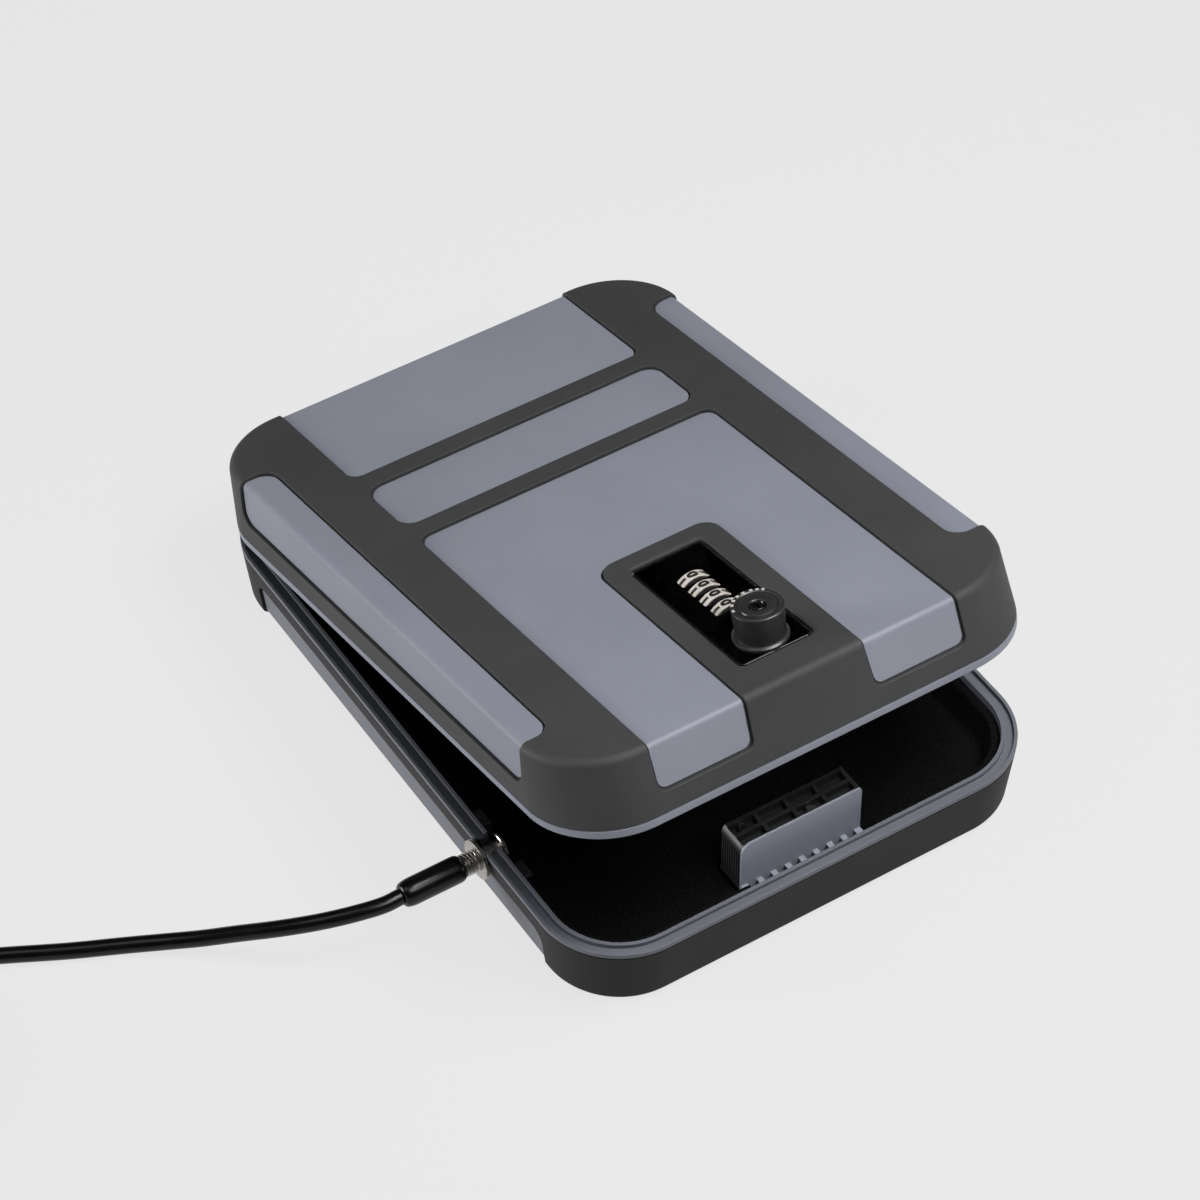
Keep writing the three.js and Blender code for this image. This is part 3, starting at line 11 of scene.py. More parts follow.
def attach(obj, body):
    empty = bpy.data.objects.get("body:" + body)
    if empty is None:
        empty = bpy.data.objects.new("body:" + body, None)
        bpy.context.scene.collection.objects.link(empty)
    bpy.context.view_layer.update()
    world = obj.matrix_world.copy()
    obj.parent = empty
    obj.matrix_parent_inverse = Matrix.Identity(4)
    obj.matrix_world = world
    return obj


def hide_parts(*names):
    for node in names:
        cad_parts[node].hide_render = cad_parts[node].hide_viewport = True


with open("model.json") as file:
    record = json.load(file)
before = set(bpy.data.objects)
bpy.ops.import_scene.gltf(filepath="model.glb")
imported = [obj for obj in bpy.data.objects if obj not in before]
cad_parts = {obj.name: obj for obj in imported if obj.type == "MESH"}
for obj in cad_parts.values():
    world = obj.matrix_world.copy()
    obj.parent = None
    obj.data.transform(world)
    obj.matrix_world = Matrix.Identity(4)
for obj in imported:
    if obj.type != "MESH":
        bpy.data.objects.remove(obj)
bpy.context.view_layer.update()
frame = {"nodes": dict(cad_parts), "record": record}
nodes = frame["nodes"]
MM = 0.001

# Fits and walls, as in the part
SEAT_GAP = 0.3
SLIDE_GAP = 0.4
OVERRUN = 5
BUMPER = 2
PANEL_DEPTH = 1
SHELL_WALL = 3
SHELL_INSET = BUMPER + SEAT_GAP
CAVITY_INSET = SHELL_INSET + SHELL_WALL

# Whole safe
HALF_WIDTH = 87.3
HALF_DEPTH = 120.2
PARTING = 25
LID_TOP = 50.8
PLAN_CORNER = 28.6
AJAR = math.radians(11.92)
HINGE_Y = HALF_DEPTH + 2.2
HINGE_Z = PARTING - 0.4

# Steps of round stretches
CORNER_STEPS = 26
SMALL_STEPS = 10
FILLET_STEPS = 9
ROUND_SIDES = 96
DISC_SIDES = 48

# Forms: open rim, top of the straight lip, far face, its fillet, drafts
BASE_LIP = PARTING - 1.7
BASE_FORM = {
    "open": PARTING, "straight": BASE_LIP, "far": 0, "fillet": 3,
    "setback": 0, "side": 2.1, "front": 2.1, "rear": 2.1,
}
LID_BOTTOM = PARTING + 0.3
LIP_TOP = LID_BOTTOM + 2.6
LID_FORM = {
    "open": LID_BOTTOM, "straight": LIP_TOP, "far": LID_TOP, "fillet": 3.2,
    "setback": 0.55, "side": 1.4, "front": 5.15, "rear": 0.4,
}

# Rim
OUTER_RIDGE = 1.2
GROOVE_WIDTH = 2.8
GROOVE_DEPTH = 1.6
TONGUE_CLEARANCE = 0.5
TONGUE_DEPTH = 1.2

# Panels
COLUMN = HALF_WIDTH - 31.3
REAR_PANEL_FRONT = HALF_DEPTH - 52.4
CROSS_PANEL_REAR = REAR_PANEL_FRONT - 8.3
CROSS_PANEL_FRONT = CROSS_PANEL_REAR - 27.1
FRONT_PANEL_REAR = CROSS_PANEL_FRONT - 8
PANEL_CORNER = 4.5
CROSS_CORNER = 6
WRAP_FOOT = LIP_TOP + 6.8
WRAP_CORNER = 3
SIDE_INNER = HALF_WIDTH - 13.4
SIDE_FRONT = -HALF_DEPTH + 31.9
SIDE_REAR = HALF_DEPTH - 28.5
SIDE_FOOT = LIP_TOP + 7.4
SIDE_CORNER = 6
SIDE_FOOT_CORNER = 5
BASE_PANEL_HALF = HALF_DEPTH - 30.7
BASE_PANEL_TOP = BASE_LIP - 7.1
CROSS_BAND_HALF = 8
PANEL_GAP = 0.35
WINDOW_EASE = 0.2
LEDGE_INSET = 0.28
LEDGE_DEPTH = 1.4

# Lock
PLATE_HALF = 13
PLATE_FRONT = -HALF_DEPTH + 21
PLATE_REAR = PLATE_FRONT + 63.2
PLATE_TOP = LID_TOP - 1.2
PLATE_THICKNESS = 1.6
PLATE_CORNER = 2
PLATE_RIM = 0.7
PLATE_RIM_RISE = 0.2
SURROUND_HALF = 21.6
SURROUND_FOOT_HALF = 22.4
SURROUND_REAR = PLATE_REAR + 7.5
SURROUND_CORNER = 6
LOCK_MARGIN = 0.7
LEAD_WIDTH = 3.7
LEAD_DEPTH = 0.8
DIAL_COUNT = 4
DIAL_PITCH = 6.4
DIAL_WIDTH = 4.2
DIAL_RADIUS = 7.3
DIAL_BORE = 3.4
DIAL_Z = LID_TOP - 6.4
FIRST_DIAL_Y = PLATE_REAR - 15.9
DIAL_YS = [FIRST_DIAL_Y - index * DIAL_PITCH for index in range(DIAL_COUNT)]
RECESS_HALF = 6.4
RECESS_DEPTH = 0.6
KNOB_Y = PLATE_FRONT + 9
KNOB_RADIUS = 8.5
KNOB_BOTTOM = PLATE_TOP + SEAT_GAP
KNOB_TOP = LID_TOP + 10.9
KNOB_SKIRT = 1.2
KNOB_FLARE = 0.5
PLUG_RADIUS = 2.4
PLUG_DEPTH = 7
SPINDLE_RADIUS = 3

# Hinge
KNUCKLE_RADIUS = 2.6
KNUCKLE_LENGTH = 9
KNUCKLE_GAP = 0.4
KNUCKLE_STEP = KNUCKLE_LENGTH + KNUCKLE_GAP
HINGE_CENTRES = (-HALF_WIDTH + 39.3, HALF_WIDTH - 39.3)
PIN_BORE = 1.33
ARM_DEPTH = 3.6

# Tray
PAD_TOP = PARTING - 12.5
LINER_GAP = 0.5
LINER_WALL = 2.5
LINER_WALL_TOP = PARTING - 2.5
BLOCK_HALF = 22.7
BLOCK_FRONT = -105.8
BLOCK_REAR = -94.2
CATCH_SCREWS = ((-16.54, -97.43), (5.51, -102.58))
SCREW_HOLE = 1.4
BOSS_RADIUS = 2.2

# Cable
PORT_Y = -HALF_DEPTH + 64.9
PORT_Z = PARTING - 5.8
PORT_WIDTH = 7.4
FLANGE_RADIUS = 6.8
TAB_OFFSET = 12.4
TAB_LENGTH = 7
CABLE_RADIUS = 2.7
CABLE_LENGTH = 914
NECK_END = -HALF_WIDTH - 6.7
BOOT_RIGHT = NECK_END - SEAT_GAP
BOOT_LEFT = BOOT_RIGHT - 21.7
BOOT_RADIUS = 4.5
CABLE_SIDES = 20
COIL_MEAN_RADIUS = 30.2
COIL_PITCH = 6.3
COIL_RISE = 5.9
CLIMB_HALF_SHARE = 0.25
TAIL_LENGTH = 42
EYE_RADIUS = 15
EYE_LEG_OFFSET = 2.95
SLEEVE_LENGTH = 13
SLEEVE_HEIGHT = 7.4
SLEEVE_WIDTH = 13.4


# Camera at the photograph's viewing angle

CAMERA_BACK = Vector((-0.36519, -0.58437, 0.72467)).normalized()
CAMERA_PLACE = Vector((-0.49197, -0.77539, 1.00362))
CAMERA_ROLL = math.radians(-0.61)
CAMERA_LENS = 122.78
CAMERA_REACH = 20


def make_camera():
    right = Vector((0, 0, 1)).cross(CAMERA_BACK).normalized()
    up = CAMERA_BACK.cross(right)
    cos, sin = math.cos(CAMERA_ROLL), math.sin(CAMERA_ROLL)
    rolled_right = right * cos + up * sin
    rolled_up = up * cos - right * sin
    data = bpy.data.cameras.new("camera")
    data.lens = CAMERA_LENS
    data.clip_end = CAMERA_REACH
    camera = bpy.data.objects.new("camera", data)
    turn = Matrix((rolled_right, rolled_up, CAMERA_BACK)).transposed().to_4x4()
    camera.matrix_world = Matrix.Translation(CAMERA_PLACE) @ turn
    bpy.context.scene.collection.objects.link(camera)
    bpy.context.scene.camera = camera


make_camera()


# Meshes

def new_object(name, mesh):
    item = bpy.data.objects.new(name, mesh)
    bpy.context.scene.collection.objects.link(item)
    return item


def from_bmesh(name, bm):
    bmesh.ops.recalc_face_normals(bm, faces=bm.faces)
    mesh = bpy.data.meshes.new(name)
    bm.to_mesh(mesh)
    bm.free()
    return new_object(name, mesh)


def rounded_outline(corners, steps=SMALL_STEPS):
    """Outline with rounded corners; each corner is (x, y, radius)."""
    points = []
    for index, (x, y, radius) in enumerate(corners):
        here = Vector((x, y))
        if not radius:
            points.append(here)
            continue
        after = corners[(index + 1) % len(corners)]
        back = (Vector(corners[index - 1][:2]) - here).normalized()
        ahead = (Vector(after[:2]) - here).normalized()
        half = back.angle(ahead) / 2
        centre = here + (back + ahead).normalized() * (radius / math.sin(half))
        start = here + back * (radius / math.tan(half)) - centre
        end = here + ahead * (radius / math.tan(half)) - centre
        turn = math.atan2(start.x * end.y - start.y * end.x, start.dot(end))
        for step in range(steps + 1):
            angle = turn * step / steps
            cos, sin = math.cos(angle), math.sin(angle)
            points.append(centre + Vector((start.x * cos - start.y * sin,
                                           start.x * sin + start.y * cos)))
    return points


def rectangle(left, right, low, high, radius=0, steps=SMALL_STEPS, far_radius=None):
    """Outline with one radius; its high corners may have another."""
    far = radius if far_radius is None else far_radius
    return rounded_outline([(left, low, radius), (right, low, radius), (right, high, far),
                            (left, high, far)], steps)


def wall(bm, low, high):
    """Faces between two rings of vertices, of which one may be a single vertex."""
    count = max(len(low), len(high))
    for side in range(count):
        after = (side + 1) % count
        if len(low) == 1:
            bm.faces.new((low[0], high[side], high[after]))
        elif len(high) == 1:
            bm.faces.new((low[after], low[side], high[0]))
        else:
            bm.faces.new((low[side], low[after], high[after], high[side]))


def skin_rings(bm, rings):
    """Closed skin through rings of points that all have the same count."""
    levels = [[bm.verts.new(point) for point in ring] for ring in rings]
    for low, high in zip(levels, levels[1:]):
        wall(bm, low, high)
    bm.faces.new(levels[0][::-1])
    bm.faces.new(levels[-1])


def loft(name, rings):
    bm = bmesh.new()
    skin_rings(bm, rings)
    return from_bmesh(name, bm)


def at_height(outline, height):
    return [Vector((p.x, p.y, height)) for p in outline]


AXES = {
    "X": lambda a, b, along: Vector((along, a, b)),
    "Y": lambda a, b, along: Vector((a, along, b)),
    "Z": lambda a, b, along: Vector((a, b, along)),
}


def prism(points, low, high, axis="Z"):
    """Prism along an axis, from an outline in the other two."""
    spot = AXES[axis]
    return loft("prism", [[spot(p[0], p[1], end) for p in points] for end in (low, high)])


def block(left, right, front, rear, bottom, top, radius=0, steps=SMALL_STEPS):
    """Box, with its upright edges rounded where a radius is given."""
    return prism(rectangle(left, right, front, rear, radius, steps), bottom, top)


def wide_slab(bottom, top):
    """Slab that reaches beyond the whole safe."""
    return block(-2 * HALF_WIDTH, 2 * HALF_WIDTH, -2 * HALF_DEPTH, 2 * HALF_DEPTH, bottom, top)


def turned(profile, axis="Z", centre=(0, 0), sides=ROUND_SIDES):
    """Round body about an axis through centre, from a profile of (radius, along)
    points that starts and ends on the axis, or closes on itself."""
    spot = AXES[axis]
    bm = bmesh.new()
    rings = []
    for radius, along in profile:
        angles = [2 * math.pi * side / sides for side in range(sides if radius else 1)]
        rings.append([bm.verts.new(spot(centre[0] + radius * math.cos(angle),
                                        centre[1] + radius * math.sin(angle), along))
                      for angle in angles])
    if profile[0][0]:
        rings.append(rings[0])
    for low, high in zip(rings, rings[1:]):
        wall(bm, low, high)
    return from_bmesh("turned", bm)


def disc(radius, low, high, axis="Z", centre=(0, 0)):
    return turned([(0, low), (radius, low), (radius, high), (0, high)], axis, centre, DISC_SIDES)


def bake(item):
    """Applies the piece's modifiers to its mesh."""
    graph = bpy.context.evaluated_depsgraph_get()
    mesh = bpy.data.meshes.new_from_object(item.evaluated_get(graph))
    item.modifiers.clear()
    item.data = mesh
    return item


def combine(item, other, operation):
    modifier = item.modifiers.new("combine", "BOOLEAN")
    modifier.operation = operation
    modifier.solver = "MANIFOLD"
    modifier.object = other
    bake(item)
    bpy.data.objects.remove(other)
    return item


def cut(item, *others):
    for other in others:
        combine(item, other, "DIFFERENCE")
    return item


def add(item, *others):
    for other in others:
        combine(item, other, "UNION")
    return item


def keep(item, other):
    return combine(item, other, "INTERSECT")


BEVEL_ANGLE = math.radians(35)


def soften(item, width, segments=3):
    """Rounds the sharp edges, after merging what lies in one plane."""
    bm = bmesh.new()
    bm.from_mesh(item.data)
    bmesh.ops.remove_doubles(bm, verts=bm.verts, dist=0.02)
    bmesh.ops.dissolve_limit(bm, angle_limit=math.radians(0.6), verts=bm.verts,
                             edges=bm.edges)
    bm.to_mesh(item.data)
    bm.free()
    modifier = item.modifiers.new("bevel", "BEVEL")
    modifier.width = width
    modifier.segments = segments
    modifier.limit_method = "ANGLE"
    modifier.angle_limit = BEVEL_ANGLE
    modifier.use_clamp_overlap = False
    modifier.miter_outer = "MITER_ARC"
    bake(item)
    return item


LID_TILT = (Matrix.Translation((0, HINGE_Y, HINGE_Z)) @ Matrix.Rotation(-AJAR, 4, "X")
            @ Matrix.Translation((0, -HINGE_Y, -HINGE_Z)))


SMOOTH_ANGLE = math.radians(32)


def place(item, name, body, material, slot, *replaced):
    """Names, places and dresses a piece, and hangs it on its body. All that isn't on the
    base is tilted with the lid."""
    item.name = name
    if body != "base":
        item.data.transform(LID_TILT)
    item.data.transform(Matrix.Scale(MM, 4))
    item.data.shade_smooth()
    item.data.set_sharp_from_angle(angle=SMOOTH_ANGLE)
    item.modifiers.new("normals", "WEIGHTED_NORMAL").keep_sharp = True
    bake(item)
    item.data.name = name
    item.data.materials.clear()
    item.data.materials.append(material)
    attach(item, body)
    if replaced:
        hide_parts(*replaced)
    return item


# Materials

def tone(*channels):
    """A colour in the shader's linear values, from one given in 0 to 255."""
    shares = [value / 255 for value in channels]
    return (*[share / 12.92 if share <= 0.04045 else ((share + 0.055) / 1.055) ** 2.4
              for share in shares], 1)


class Finish:
    """A node material with one Principled shader."""

    def __init__(self, name):
        self.material = bpy.data.materials.new(name)
        self.material.use_nodes = True
        self.tree = self.material.node_tree
        self.shader = self.tree.nodes["Principled BSDF"]
        self.spot = self.tree.nodes.new("ShaderNodeTexCoord").outputs["Object"]

    def node(self, kind, socket, source, **values):
        """A new node that takes source in at socket, and values at its other inputs."""
        node = self.tree.nodes.new(kind)
        for name, value in values.items():
            node.inputs[name].default_value = value
        self.tree.links.new(source, node.inputs[socket])
        return node

    def set(self, **values):
        for name, value in values.items():
            self.shader.inputs[name.replace("_", " ")].default_value = value
        return self

    def noise(self, scale, detail=3, roughness=0.5):
        return self.node("ShaderNodeTexNoise", "Vector", self.spot, Scale=scale,
                         Detail=detail, Roughness=roughness).outputs["Fac"]

    def cells(self, scale):
        node = self.node("ShaderNodeTexVoronoi", "Vector", self.spot, Scale=scale)
        return node.outputs["Distance"]

    def link(self, source, socket):
        self.tree.links.new(source, self.shader.inputs[socket])
        return self

    def tint(self, source, dark, light, stops=(0.3, 0.7)):
        ramp = self.node("ShaderNodeValToRGB", "Fac", source)
        for element, position, shade in zip(ramp.color_ramp.elements, stops, (dark, light)):
            element.position = position
            element.color = tone(*shade)
        return self.link(ramp.outputs["Color"], "Base Color")

    def rough(self, source, low, high):
        span = self.node("ShaderNodeMapRange", "Value", source,
                         **{"To Min": low, "To Max": high})
        return self.link(span.outputs["Result"], "Roughness")

    def bump(self, *layers):
        """Bumps on each other; a layer is (height source, strength, distance)."""
        previous = None
        for source, strength, distance in layers:
            node = self.node("ShaderNodeBump", "Height", source, Strength=strength,
                             Distance=distance * MM)
            if previous:
                self.tree.links.new(previous, node.inputs["Normal"])
            previous = node.outputs["Normal"]
        return self.link(previous, "Normal")


def plastic(name, gloss, dark, light, shade, rough, grain, fine=None, stops=(0.3, 0.7),
            swell=None):
    """Moulded plastic. A slow noise, shade, takes its tone from dark to light; its
    roughness follows the noise fine, or shade where there is none; the surface has the
    bump grain, as (scale, strength, distance), and may swell with shade."""
    finish = Finish(name).set(Specular_IOR_Level=gloss)
    slow = finish.noise(*shade)
    finish.tint(slow, dark, light, stops)
    finish.rough(finish.noise(fine, 2) if fine else slow, *rough)
    scale, strength, distance, *detail = grain
    layers = [(finish.noise(scale, *(detail or [2])), strength, distance)]
    if swell:
        layers.append((slow, *swell))
    return finish.bump(*layers).material


def satin_gray(name, gloss, dark, light):
    return plastic(name, gloss, dark, light, (14, 4, 0.6), (0.38, 0.5), (2600, 0.14, 0.05),
                   fine=900, swell=(0.03, 0.3))


def overmould(name, gloss, dark, light):
    return plastic(name, gloss, dark, light, (22, 4, 0.6), (0.52, 0.68), (3200, 0.2, 0.06),
                   fine=1200)


def foam():
    finish = Finish("foam").set(Specular_IOR_Level=0.08)
    pores = finish.cells(1500)
    finish.tint(pores, (2, 2, 2), (13, 13, 13), (0.1, 0.75))
    finish.rough(finish.noise(60), 0.85, 1.0)
    return finish.bump((pores, 0.9, 0.5), (finish.noise(500, 4, 0.7), 0.5, 0.6)).material


def dial_print():
    finish = Finish("dial_print").set(Specular_IOR_Level=0.35)
    wear = finish.noise(700)
    return finish.tint(wear, (14, 13, 13), (34, 32, 32)).rough(wear, 0.45, 0.6).material


def metal(name, dark, light):
    finish = Finish(name).set(Metallic=1.0)
    lines = finish.noise(700, 4, 0.6)
    finish.tint(lines, dark, light, (0.25, 0.75)).rough(lines, 0.18, 0.36)
    return finish.bump((lines, 0.12, 0.03)).material


GRAY = satin_gray("gray_shell", 0.3, (110, 113, 123), (117, 120, 130))
# Painted shade: the base's gray is the lid's plastic, made darker to stand for the lesser light on
# the base
SHADED_BASE_GRAY = satin_gray("gray_base_painted_shade", 0.22, (89, 91, 98), (95, 97, 104))
# Painted light: the catch block's gray is the shell's plastic, made lighter to stand for light on
# its face
LIT_BLOCK_GRAY = satin_gray("gray_catch_painted_light", 0.3, (136, 140, 151), (143, 147, 158))
BLACK = overmould("black_overmould", 0.25, (47, 47, 48), (53, 53, 53))
# Painted shade: the base's black is the lid's overmould, made darker and less glossy to stand for
# the lesser light on the base
SHADED_BASE_BLACK = overmould("black_base_painted_shade", 0.14, (33, 32, 33), (38, 37, 38))
FOAM = foam()
GLOSS = plastic("gloss_black", 0.4, (11, 11, 12), (17, 17, 18), (120, 3), (0.22, 0.32),
                (1500, 0.06, 0.03))
KNOB = plastic("knob_black", 0.5, (30, 30, 31), (37, 37, 38), (160, 3), (0.28, 0.4),
               (1600, 0.08, 0.03))
DARK = plastic("dark_plastic", 0.45, (26, 26, 28), (34, 34, 36), (80, 3), (0.42, 0.55),
               (1800, 0.15, 0.04))
WHITE = plastic("dial_white", 0.45, (152, 146, 139), (174, 169, 162), (260, 4, 0.65),
                (0.3, 0.45), (1500, 0.08, 0.03), stops=(0.25, 0.6))
PRINT = dial_print()
STEEL = metal("steel", (142, 138, 132), (196, 193, 188))
BRASS = metal("brass_parts", (150, 118, 62), (206, 172, 104))
CABLE = plastic("cable_sheath", 0.28, (5, 5, 6), (9, 9, 9), (160, 3), (0.2, 0.3),
                (420, 0.1, 0.08, 3))


# Cable

def curve_points(points, per_span):
    """Points on the smooth curve through given points, with centripetal spacing."""
    points = [Vector(p) for p in points]
    around = [points[0] * 2 - points[1], *points, points[-1] * 2 - points[-2]]
    result = []
    for index in range(len(points) - 1):
        p0, p1, p2, p3 = around[index:index + 4]
        steps = [max((b - a).length, 1e-6) ** 0.5 for a, b in ((p0, p1), (p1, p2), (p2, p3))]
        slope_a = ((p1 - p0) / steps[0] - (p2 - p0) / (steps[0] + steps[1])
                   + (p2 - p1) / steps[1]) * steps[1]
        slope_b = ((p2 - p1) / steps[1] - (p3 - p1) / (steps[1] + steps[2])
                   + (p3 - p2) / steps[2]) * steps[1]
        for step in range(per_span):
            t = step / per_span
            result.append(p1 * (2 * t ** 3 - 3 * t ** 2 + 1) + slope_a * (t ** 3 - 2 * t ** 2 + t)
                          + p2 * (3 * t ** 2 - 2 * t ** 3) + slope_b * (t ** 3 - t ** 2))
    result.append(points[-1])
    return result


def path_length(points):
    return sum((b - a).length for a, b in zip(points, points[1:]))


CABLE_START = Vector((BOOT_LEFT - SEAT_GAP, PORT_Y, PORT_Z))
COIL_ENTRY = Vector((-275, 28.6, CABLE_RADIUS))
COIL_HEADING = Vector((-0.885, 0.466, 0)).normalized()
ROUTE_POINTS = (
    (-122, -55.2, 19.0), (-131, -52.8, 18.2), (-141, -48.6, 16.6), (-152, -41.6, 13.3),
    (-163, -33.1, 9.2), (-172, -26.4, 6.0), (-181, -20.2, 4.0), (-192, -13.9, 3.0),
    (-208, -6.0, 2.7), (-227, 4.0, 2.7), (-246, 13.6, 2.7),
)


class CablePath:
    """The cable's centre line: free stretch, two-layer coil and tail, as in the part."""

    def __init__(self):
        lead = COIL_ENTRY - COIL_HEADING * SEAT_GAP
        lead_in = lead - COIL_HEADING * 2 * CABLE_RADIUS
        self.route = curve_points([CABLE_START, *ROUTE_POINTS, lead_in, lead], 8)
        covered = -HALF_WIDTH - BOOT_LEFT
        coil_length = (CABLE_LENGTH - covered - path_length(self.route) - TAIL_LENGTH
                       - SLEEVE_LENGTH - 2 * math.pi * EYE_RADIUS)
        self.turns = coil_length / (2 * math.pi * COIL_MEAN_RADIUS)
        side = Vector((-COIL_HEADING.y, COIL_HEADING.x, 0))
        self.outer = COIL_MEAN_RADIUS + COIL_PITCH * self.turns / 4
        self.centre = COIL_ENTRY + side * self.outer
        self.start_angle = math.atan2(-side.y, -side.x)
        end_angle = self.start_angle + self.turns * 2 * math.pi
        self.heading = Vector((-math.sin(end_angle), math.cos(end_angle), 0))
        straight = COIL_HEADING * 2 * CABLE_RADIUS
        steps = math.ceil(self.turns * 72)
        coil = [self.coil_point(self.turns * step / steps) + straight
                for step in range(steps + 1)]
        self.exit = coil[-1] + self.heading * 2 * CABLE_RADIUS
        tail = [self.from_exit(SEAT_GAP + share * TAIL_LENGTH, 0, self.tail_height(share))
                for share in [step / 24 for step in range(25)]]
        self.points = self.route[:-1] + [COIL_ENTRY + straight / 2] + coil + tail

    def coil_point(self, turn):
        middle = self.turns / 2
        radius = self.outer - COIL_PITCH * (middle - abs(turn - middle))
        share = min(max((turn - middle) / (2 * CLIMB_HALF_SHARE) + 0.5, 0), 1)
        climb = share * share * (3 - 2 * share)
        angle = self.start_angle + turn * 2 * math.pi
        return Vector((self.centre.x + radius * math.cos(angle),
                       self.centre.y + radius * math.sin(angle),
                       CABLE_RADIUS + climb * COIL_RISE))

    def tail_height(self, share):
        eased = share ** 3 * (share * (share * 6 - 15) + 10)
        return self.exit.z - (self.exit.z - SLEEVE_HEIGHT / 2) * eased

    def from_exit(self, ahead, aside, height):
        side = Vector((-self.heading.y, self.heading.x, 0))
        spot = Vector((self.exit.x, self.exit.y, 0)) + self.heading * ahead + side * aside
        spot.z = height
        return spot


def cable_tube(name, points):
    """Cable along points, its rings turned as little as possible from one to the next."""
    angles = [2 * math.pi * side / CABLE_SIDES for side in range(CABLE_SIDES)]
    rings = []
    across = None
    for index, point in enumerate(points):
        ahead = points[min(index + 1, len(points) - 1)]
        behind = points[max(index - 1, 0)]
        direction = (ahead - behind).normalized()
        if across is None:
            across = direction.cross(Vector((0, 0, 1))).normalized()
        across = (across - direction * across.dot(direction)).normalized()
        over = across.cross(direction)
        rings.append([point + across * CABLE_RADIUS * math.cos(angle)
                      + over * CABLE_RADIUS * math.sin(angle) for angle in angles])
    return loft(name, rings)


def quarter_turn(steps):
    return [math.pi / 2 * step / steps for step in range(1, steps + 1)]


def cable_boot():
    """Sleeve over the joint, with a rounded shoulder at each end."""
    left, right = BOOT_LEFT, BOOT_RIGHT
    lip = CABLE_RADIUS + 0.8
    shoulder = right - 2.4
    profile = [(0, left), (CABLE_RADIUS + 0.1, left), (CABLE_RADIUS + 0.75, left + 0.25)]
    profile += [(lip + (BOOT_RADIUS - lip) * math.sin(angle),
                 left + 0.4 + 4.2 * (1 - math.cos(angle))) for angle in quarter_turn(8)]
    profile.append((BOOT_RADIUS, shoulder))
    profile += [(BOOT_RADIUS - 0.7 * (1 - math.cos(angle)), shoulder + 2.3 * math.sin(angle))
                for angle in quarter_turn(6)]
    profile.append((0, right))
    return turned(profile, "X", (PORT_Y, PORT_Z), 64)


NECK_RIBS = 4


def cable_terminal():
    """Barrel with an outer and an inner flange, and ribs on the neck to the boot."""
    edge = FLANGE_RADIUS
    right = -HALF_WIDTH - SEAT_GAP
    left = right - 1.5
    inside = -HALF_WIDTH + CAVITY_INSET + 1.05 + SEAT_GAP
    profile = [(0, NECK_END), (3.55, NECK_END)]
    rib_pitch = (left - 0.4 - NECK_END) / NECK_RIBS
    for rib in range(NECK_RIBS):
        at = NECK_END + rib * rib_pitch
        profile += [(3.75, at + 0.15), (3.75, at + rib_pitch * 0.6),
                    (3.3, at + rib_pitch * 0.7), (3.3, at + rib_pitch * 0.9)]
    profile += [
        (3.6, left - 0.2), (edge - 0.5, left), (edge, left + 0.25), (edge, left + 0.55),
        (edge - 0.35, left + 0.7), (edge - 0.35, left + 0.85), (edge, left + 1.0),
        (edge, right - 0.2), (edge - 0.2, right), (3.3, right), (3.3, inside), (5.2, inside),
        (5.5, inside + 0.25), (5.5, inside + 1.0), (5.2, inside + 1.3), (2.4, inside + 1.3),
        (1.9, inside + 1.55), (0, inside + 1.6)]
    return turned(profile, "X", (PORT_Y, PORT_Z), 72)


SLEEVE_STEPS = 26
SLEEVE_END_SUNK = 0.5
PINCHES = 3
PINCH_DEPTH = 0.35


def eye_sleeve(path):
    """Crimped oval ferrule, pinched at three places."""
    rings = []
    for step in range(SLEEVE_STEPS + 1):
        share = step / SLEEVE_STEPS
        ahead = SEAT_GAP * 2 + TAIL_LENGTH + share * SLEEVE_LENGTH
        low = PINCH_DEPTH * max(0, math.cos(share * PINCHES * 2 * math.pi + math.pi)) ** 2
        if step in (0, SLEEVE_STEPS):
            low += SLEEVE_END_SUNK
        outline = rectangle(-SLEEVE_WIDTH / 2 + low * 0.5, SLEEVE_WIDTH / 2 - low * 0.5,
                            low, SLEEVE_HEIGHT - low, SLEEVE_HEIGHT / 2 - low - 0.05, 8)
        rings.append([path.from_exit(ahead, EYE_LEG_OFFSET + p.x, p.y) for p in outline])
    return loft("eye_sleeve", rings)


EYE_HALF_SHARES = ((0, 0), (0.8, -0.55), (1.7, -0.62))
EYE_TIP_SHARE = 2.35


def cable_eye(path):
    start = SEAT_GAP * 3 + TAIL_LENGTH + SLEEVE_LENGTH
    loop_start = start + 2 * CABLE_RADIUS
    tip = loop_start + EYE_TIP_SHARE * EYE_RADIUS
    leg = [(start, 0)] + [(loop_start + ahead * EYE_RADIUS, aside * EYE_RADIUS)
                          for ahead, aside in EYE_HALF_SHARES]
    other = [(ahead, 2 * EYE_LEG_OFFSET - aside) for ahead, aside in leg[::-1]]
    points = []
    for ahead, aside in [*leg, (tip, EYE_LEG_OFFSET), *other]:
        share = (ahead - start) / (tip - start)
        height = SLEEVE_HEIGHT / 2 + (CABLE_RADIUS - SLEEVE_HEIGHT / 2) * share
        points.append(path.from_exit(ahead, aside, height))
    return cable_tube("cable_eye", curve_points(points, 10))


